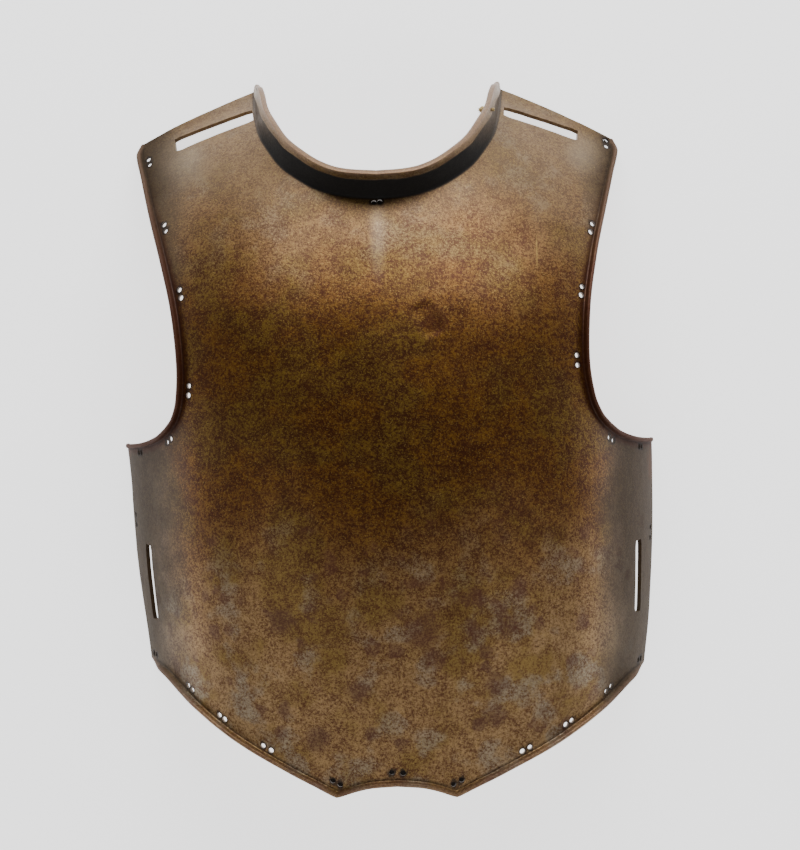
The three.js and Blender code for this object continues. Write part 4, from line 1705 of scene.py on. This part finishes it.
@dataclass(frozen=True)
class IronPatina:
    """Old oiled iron: brown oxide that is dappled with thinner, greyer and more golden places, with painted
    shade in the creases, on the collar and on the sides, and a painted sheen and highlight on the chest.
    """

    deep: Colour = tint(62, 22, 6)
    brown: Colour = tint(88, 53, 28)
    gold: Colour = tint(130, 89, 24)
    tan: Colour = tint(164, 134, 92)
    grey: Colour = tint(150, 140, 120)
    olive: Colour = tint(126, 100, 36)
    russet: Colour = tint(70, 30, 12)
    bloom: Colour = tint(82, 42, 18)
    speck: Colour = tint(176, 146, 76)
    calm_tone: Colour = tint(104, 86, 64)
    # Brown of the painted shade on the sides.
    side_shade_tone: Colour = tint(64, 50, 30)
    rust: Colour = tint(150, 88, 44)
    # Pinkish grey of the rim's outer edge: worn metal with a painted highlight.
    rubbed_and_highlit: Colour = tint(140, 110, 92)
    # Near black: painted shade in the creases, on the collar and on the sides, and also the darker ring
    # round the holes and the line along the hem's raw edge.
    soot_and_shade: Colour = tint(26, 17, 12)
    # Near black of the painted shade on the collar's face at the throat.
    black: Colour = tint(7, 5, 4)
    fine_grain: float = 0.0008
    dapple_grain: float = 0.0018
    skin_grain: float = 0.0016
    mottle_grain: float = 0.004
    patch_grain: float = 0.009
    hammer_grain: float = 0.011
    bloom_grain: float = 0.017
    band_grain: float = 0.028
    chosen_grain: float = 0.034
    gold_grain: float = 0.04
    drift_grain: float = 0.055
    warp_grain: float = 1 / 130
    warp: float = 0.010
    bloom_edges: tuple[float, float] = (1.45, 0.4)
    # Where the sides' painted shade starts and where it is full.
    side_shade_reach: tuple[float, float] = (0.128, 0.162)
    throat_shade_reach: tuple[float, float] = (0.212, 0.185)
    base_rough: float = 0.4
    base_metal: float = 0.72
    specular: float = 0.35
    coat: float = 0.14
    coat_rough: float = 0.34
    hammer_depth: float = 0.0005
    skin_depth: float = 0.00018
    stain: Streak = Streak(0.031, 0.074, 0.0085, 4 / 3, 0.0055)
    scratch: Streak = Streak(0.0985, 0.119, 0.0007, 25)
    # The streak down the ridge under the throat, where the gloss and the painted highlight lie together
    # with the shoulder tips.
    ridge: Streak = Streak(-0.006, 0.133, 0.0105, 5)
    rusted: tuple[RustSpot, ...] = (
        RustSpot((0.112, 0.2065, 0.012), 0.010, 0.8),
        RustSpot((0.171, -0.022, 0.005), 0.03),
        RustSpot((-0.172, -0.008, 0.005), 0.016),
    )
    shoulder_tips: tuple[Blotch, ...] = (Blotch(0.134, 0.187, 0.024), Blotch(-0.138, 0.184, 0.034))
    blotches: tuple[Blotch, ...] = (
        Blotch(0.053, -0.106, 0.0075),
        Blotch(0.053, -0.127, 0.0065),
        Blotch(0.076, -0.125, 0.0075),
        Blotch(0.020, -0.129, 0.0115),
        Blotch(0.084, -0.101, 0.0065),
        Blotch(0.070, -0.113, 0.0055),
        Blotch(-0.071, -0.121, 0.0085),
        Blotch(0.028, -0.147, 0.0070),
        Blotch(0.068, -0.164, 0.0080),
        Blotch(0.067, -0.185, 0.0075),
        Blotch(-0.049, -0.199, 0.0085),
        Blotch(-0.022, -0.168, 0.0075),
    )

    def ground(self, tree: ShaderTree) -> Ground:
        """What the finish reads of the plate.

        Args:
            tree: The material's tree.

        Returns:
            The place, its coordinates, and its slow and quick changes.
        """
        place = tree.place()
        drift = tree.noise(tree.shifted(place, (0.31, 0.17, 0.05)), self.drift_grain, 3, 0.5) - 0.5
        mottle = tree.noise(place, self.mottle_grain, 4, 0.6)
        return Ground(tree, place, abs(tree.axis(place, "X")), tree.axis(place, "Y"), drift, mottle)

    def level(self, at: Ground) -> Value:
        """How light and thin the oxide is: most in the lower third, and high on the chest, partly as
        thinner oxide and partly as a painted sheen of the lamps' reflection.

        Args:
            at: What is read of the plate.

        Returns:
            The level, from 0 to 1.
        """
        # Lighter and greyer high on the chest and at the lower flanks: partly thinner oxide, partly a
        # painted sheen where these places reflect the lamps.
        low = (at.height + 0.12 * at.drift).between(-0.02, -0.16)
        high = (at.height - 0.10 * at.drift).between(0.06, 0.2)
        flank = (at.across + 0.08 * at.drift).between(0.02, 0.14)
        return low * (0.7 + 0.3 * flank) + high * 0.6

    def oxide(self, at: Ground, level: Value, calm: Value) -> tuple[Value, Value]:
        """The dappled oxide.

        Args:
            at: What is read of the plate.
            level: How light and thin the oxide is, with its painted sheen.
            calm: How much of the dapple is evened out into one plain tone.

        Returns:
            Its colour, and where it is light.
        """
        tree, place = at.tree, at.place
        fine = tree.noise(place, self.fine_grain, 2, 0.6)
        grain = tree.noise(place, self.dapple_grain, 3, 0.6)
        patches = tree.noise(tree.shifted(place, (0.1, 0.4, 0.2)), self.patch_grain, 4, 0.6)
        clouds = tree.noise(tree.shifted(place, (0.5, 0.1, 0.7)), self.gold_grain, 3, 0.5)
        bands = tree.noise(tree.shifted(place, (0.9, 0.6, 0.3)), self.band_grain, 3, 0.55)
        speckle = fine * 0.45 + grain * 0.55
        light = (speckle + (patches - 0.5) * 0.32 + (level - 0.5) * 0.05).between(0.38, 0.64)
        # The level lightens and greys the colour, and so carries its painted sheen.
        dark = tree.mix(level, self.deep, self.brown)
        dark = tree.mix(bands.between(0.5, 0.68) * 0.6, dark, self.russet)
        bright = tree.mix(level, self.gold, self.tan)
        bright = tree.mix(clouds.between(0.46, 0.62) * 0.75, bright, self.olive)
        bright = tree.mix(bands.between(0.5, 0.36) * level * 0.8, bright, self.grey)
        dappled = tree.mix(0.05 + light * 0.85, dark, bright)
        dappled = tree.mix(calm * 0.56, dappled, self.calm_tone)
        specks = tree.noise(tree.shifted(place, (0.6, 0.2, 0.9)), self.fine_grain, 1, 0.5)
        return tree.mix(specks.between(0.6, 0.74) * 0.5, dappled, self.speck), light

    def blooms(self, at: Ground) -> Value:
        """Smooth round blooms of darker oxide, in the lower half.

        Args:
            at: What is read of the plate.

        Returns:
            Where they are.
        """
        tree, place = at.tree, at.place
        low = (at.height + 0.08 * at.drift).between(0.0, -0.12)
        sockets = {"Vector": place, "Scale": 1 / self.warp_grain, "Detail": 4.0}
        cloud = tree.add("ShaderNodeTexNoise", {}, sockets, "Color")
        sockets = {0: cloud, 1: (self.warp,) * 3, 2: tree.shifted(place, (-self.warp / 2,) * 3)}
        warped = tree.add("ShaderNodeVectorMath", {"operation": "MULTIPLY_ADD"}, sockets)
        chosen = tree.noise(tree.shifted(place, (0.2, 0.8, 0.1)), self.chosen_grain, 2, 0.5)
        scattered = tree.cells(warped, self.bloom_grain).between(0.4, 0.24)
        scattered = scattered * chosen.between(0.47, 0.58) * low
        flat = tree.stretched(warped, (1.0, 1.0, 0.0))
        for blotch in self.blotches:
            reach, core = (blotch.radius * edge for edge in self.bloom_edges)
            scattered = scattered + tree.spot(flat, blotch.middle, reach, core)
        return scattered.between(0.0, 1.0)

    def rust_spots(self, at: Ground) -> Value:
        """Fresh rust on the right shoulder strip and at both horns.

        Args:
            at: What is read of the plate.

        Returns:
            Where it is.
        """
        spots = 0.0
        for rust in self.rusted:
            spots = spots + at.tree.spot(at.place, rust.middle, rust.radius) * rust.strength
        return (spots * (at.mottle + 0.5)).between(0.35, 0.9)

    def polish_and_sheen(self, at: Ground) -> Value:
        """Where the ridge under the throat and the shoulder tips are glossier and carry a painted
        highlight.

        Args:
            at: What is read of the plate.

        Returns:
            How glossy and highlit it is, from 0 to 1.
        """
        gloss_and_sheen = self.ridge.on(at.tree, at.place) * 0.8
        flat = at.tree.stretched(at.place, (1.0, 1.0, 0.0))
        for tip in self.shoulder_tips:
            gloss_and_sheen = gloss_and_sheen + at.tree.spot(flat, tip.middle, tip.radius)
        return gloss_and_sheen.between(0.0, 1.2)

    def marks(self, at: Ground, colour: Value) -> Value:
        """Adds the stain in the square dent, and the long scratch at the right of the chest.

        Args:
            at: What is read of the plate.
            colour: The colour so far.

        Returns:
            The colour with these marks.
        """
        colour = at.tree.mix(self.stain.on(at.tree, at.place) * 0.42, colour, self.deep)
        return at.tree.mix(self.scratch.on(at.tree, at.place) * 0.5, colour, self.speck)

    def rim(self, at: Ground, colour: Value) -> tuple[Value, Value, Value]:
        """Dresses what is near the rim and the holes.

        Args:
            at: What is read of the plate.
            colour: The colour so far.

        Returns:
            The colour, the painted shade in the creases and on the collar, and the painted shade that turns
            the collar's face at the throat black.
        """
        tree, x, y = at.tree, at.across, at.height
        names = ("lip", "crease", "collar", "raw_edge", "pierced")
        lip, crease, collar, raw_edge, pierced = (tree.zone(name) for name in names)
        # Lighter along the rim's outer edge: worn metal, and a painted highlight where the rounded edge
        # catches the light.
        rubbed_and_highlit = (lip + at.waver(0.5)).between(0.55, 0.85)
        colour = tree.mix(rubbed_and_highlit * 0.36, colour, self.rubbed_and_highlit)
        # Darker reddish band on the lower part of the armhole rims: the rim's own russet, deepened as
        # painted shade along the turned edge.
        armhole = (lip + at.waver(0.4)).between(0.05, 0.5) * x.between(0.11, 0.13) * y.between(-0.04, 0.0)
        colour = tree.mix(armhole * y.between(0.19, 0.1) * 0.8, colour, self.russet)
        # Painted shade: the creases of the turned edges and the collar are darkened where shade falls.
        shade = (crease * 0.6 + collar * 0.75 + at.waver(0.3)).between(0.2, 0.8)
        colour = tree.mix(shade * 0.7, colour, self.soot_and_shade)
        ring = (pierced + at.waver(0.4)).between(0.08, 0.42)
        colour = tree.mix(ring * 0.8, colour, self.soot_and_shade)
        # Painted shade: the collar's face at the throat, which lies in shadow under the rim, is turned near
        # black.
        throat = collar.between(0.2, 0.7) * (y + 0.02 * at.drift).between(*self.throat_shade_reach)
        colour = tree.mix(throat * 0.95, colour, self.black)
        return tree.mix(raw_edge.between(0.15, 0.6) * 0.9, colour, self.soot_and_shade), shade, throat

    def relief(self, at: Ground, light: Value) -> Value:
        """Hammering under the oxide's own skin.

        Args:
            at: What is read of the plate.
            light: Where the oxide is light.

        Returns:
            The normal.
        """
        tree = at.tree
        hammered = tree.noise(tree.shifted(at.place, (0.4, 0.4, 0.4)), self.hammer_grain, 2, 0.5)
        skin = tree.noise(at.place, self.skin_grain, 5, 0.68)
        under = tree.bump(hammered, 0.45, self.hammer_depth)
        return tree.bump(skin * 0.6 + light * 0.4, 0.6, self.skin_depth, under)

    def dress(self, piece: bpy.types.Object) -> None:
        """Puts the finish on a piece.

        Args:
            piece: The plate.
        """
        tree = ShaderTree("patinated_iron")
        at = self.ground(tree)
        # The sides' zone, where the colour carries painted shade and the finish is duller.
        side = (at.across + 0.03 * at.drift).between(*self.side_shade_reach)
        calm = ((at.height - 0.08 * at.drift).between(0.08, 0.2) + side).between(0.0, 1.0)
        colour, light = self.oxide(at, self.level(at), calm)
        blooms = self.blooms(at)
        colour = tree.mix(blooms * (0.74 - 0.3 * light), colour, self.bloom)
        colour = tree.mix(self.rust_spots(at) * 0.8, colour, self.rust)
        colour = self.marks(at, colour)
        polish_and_sheen = self.polish_and_sheen(at)
        # Painted highlight: the lamp's reflection on the ridge under the throat and on the shoulder tips,
        # painted in grey.
        colour = tree.mix(polish_and_sheen * 0.28, colour, self.grey)
        # Painted shade: the sides, where the plate turns steeply down to the floor, are darkened to brown
        # and near black.
        colour = tree.mix(side * 0.6, colour, self.side_shade_tone)
        colour = tree.mix(side * 0.45, colour, self.soot_and_shade)
        colour, shade, throat = self.rim(at, colour)

        rough = self.base_rough + 0.1 * at.mottle + 0.08 * blooms + 0.06 * shade - 0.05 * light
        rough = rough - 0.12 * polish_and_sheen + 0.3 * throat + 0.35 * side
        metal = (self.base_metal - 0.3 * blooms - 0.1 * light) * (1 - throat) * (1 - 0.6 * side)
        tree.dress(
            piece,
            Base_Color=colour,
            Roughness=rough,
            Metallic=metal,
            Specular_IOR_Level=self.specular,
            Coat_Weight=self.coat * (1 - throat) * (1 - side),
            Coat_Roughness=self.coat_rough,
            Normal=self.relief(at, light),
        )


@dataclass(frozen=True)
class HoleShadeFinish:
    """Near black with brown flecks: the painted shade in the plugged holes."""

    dark: Colour = tint(20, 14, 10)
    shade_fleck: Colour = tint(70, 48, 28)
    grain: float = 0.0006
    depth: float = 0.0003

    def dress(self, piece: bpy.types.Object) -> None:
        """Puts the finish on a piece.

        Args:
            piece: The plugs.
        """
        tree = ShaderTree("hole_shade_dark")
        grain = tree.noise(tree.place(), self.grain, 4, 0.7)
        colour = tree.mix(grain.between(0.5, 0.7) * 0.6, self.dark, self.shade_fleck)
        normal = tree.bump(grain, 0.8, self.depth)
        tree.dress(piece, Base_Color=colour, Roughness=0.98 - 0.1 * grain, Normal=normal)


@dataclass(frozen=True)
class Rawhide:
    """Dry pale hide, darker in its creases."""

    pale: Colour = tint(214, 190, 132)
    dark: Colour = tint(120, 88, 44)
    grain: float = 0.0009
    depth: float = 0.0002

    def dress(self, piece: bpy.types.Object) -> None:
        """Puts the finish on a piece.

        Args:
            piece: The knot.
        """
        tree = ShaderTree("rawhide")
        grain = tree.noise(tree.place(), self.grain, 4, 0.6)
        colour = tree.mix(grain.between(0.35, 0.62), self.dark, self.pale)
        normal = tree.bump(grain, 0.6, self.depth)
        tree.dress(piece, Base_Color=colour, Roughness=0.85 - 0.15 * grain, Normal=normal)


@dataclass(frozen=True)
class PaleFloor:
    """A plain studio floor of white acrylic with a little light behind it."""

    colour: Colour = tint(222, 222, 224)
    glow: float = 1.7

    def dress(self, piece: bpy.types.Object) -> None:
        """Puts the finish on the floor.

        Args:
            piece: The floor.
        """
        tree = ShaderTree("studio_floor")
        tree.dress(
            piece,
            Base_Color=self.colour,
            Roughness=0.9,
            Emission_Color=(1.0, 1.0, 1.0),
            Emission_Strength=self.glow,
        )


# ---------------------------------------------------------------- the studio


@dataclass(frozen=True)
class Softbox:
    """A soft lamp: where it stands, what it faces, how large and how strong it is."""

    name: str
    at: Place
    towards: Place
    size: tuple[float, float]
    watts: float


@dataclass
class Studio:
    """The floor, the lamps, the surroundings' light and the camera."""

    floor_size: float = 60.0
    camera_height: float = 2.6
    camera_at: tuple[float, float] = (0.0072, 0.00605)
    roll: float = -0.0115
    view_tall: float = 0.578
    surround: Colour = (0.5, 0.5, 0.52)
    surround_strength: float = 0.24
    lamps: tuple[Softbox, ...] = (
        Softbox("key", (0.14, 1.5, 0.86), (0.0, 0.1, 0.08), (2.0, 0.7), 34),
        Softbox("left_card", (-1.2, -0.7, 1.1), (0.0, -0.1, 0.05), (0.7, 1.2), 3.0),
        Softbox("right_card", (1.2, -0.7, 1.1), (0.0, -0.1, 0.05), (0.7, 1.2), 3.0),
        Softbox("low_card", (0.0, -1.2, 1.2), (0.0, -0.15, 0.08), (2.4, 0.8), 7.5),
    )

    def build(self) -> None:
        """Makes the floor, lamps and camera."""
        bm = bmesh.new()
        bmesh.ops.create_grid(bm, x_segments=2, y_segments=2, size=self.floor_size / 2)
        mesh = bpy.data.meshes.new("studio_floor")
        bm.to_mesh(mesh)
        bm.free()
        floor = link("studio_floor", mesh)
        PaleFloor().dress(floor)
        for lamp in self.lamps:
            self.add_lamp(lamp)
        world = bpy.data.worlds.new("studio")
        bpy.context.scene.world = world
        world.use_nodes = True
        background = world.node_tree.nodes["Background"]
        background.inputs["Color"].default_value = (*self.surround, 1.0)
        background.inputs["Strength"].default_value = self.surround_strength
        self.add_camera()

    def add_lamp(self, lamp: Softbox) -> None:
        """Makes one soft lamp.

        Args:
            lamp: The lamp's place, aim, size and strength.
        """
        data = bpy.data.lights.new(lamp.name, "AREA")
        data.shape, (data.size, data.size_y) = "RECTANGLE", lamp.size
        data.energy = lamp.watts
        light = bpy.data.objects.new(lamp.name, data)
        light.location = lamp.at
        aim = Vector(lamp.towards) - Vector(lamp.at)
        light.rotation_euler = aim.to_track_quat("-Z", "Y").to_euler()
        bpy.context.scene.collection.objects.link(light)

    def add_camera(self) -> None:
        """Makes the camera, straight above the plate."""
        data = bpy.data.cameras.new("camera")
        data.lens = data.sensor_width * self.camera_height / self.view_tall
        camera = bpy.data.objects.new("camera", data)
        camera.location = (*self.camera_at, self.camera_height)
        camera.rotation_euler = (0.0, 0.0, self.roll)
        bpy.context.scene.collection.objects.link(camera)
        bpy.context.scene.camera = camera


def corners(bounds: Sequence[Vector]) -> list[list[float]]:
    """A box's two corners as plain lists of numbers."""
    return [[float(number) for number in corner] for corner in bounds]


def main() -> None:
    """Builds the studio and the pieces, and logs how large their meshes are."""
    logging.basicConfig(level=logging.INFO, format="%(name)s: %(message)s")
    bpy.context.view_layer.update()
    Studio().build()
    log.info("studio ready")
    plate = Breastplate()
    made = plate.build()
    plate.dress(made)
    log.info("plate: %d vertices, %d faces", len(made.data.vertices), len(made.data.polygons))
    hole_shading = ShadeHolePlugs(plate)
    plugs = hole_shading.build()
    hole_shading.dress(plugs)
    log.info("packed holes: %d faces", len(plugs.data.polygons))
    thong = ThongKnot(plate)
    knot = thong.build()
    thong.dress(knot)
    log.info("hide knot: %d faces", len(knot.data.polygons))


if __name__ == "__main__":
    main()
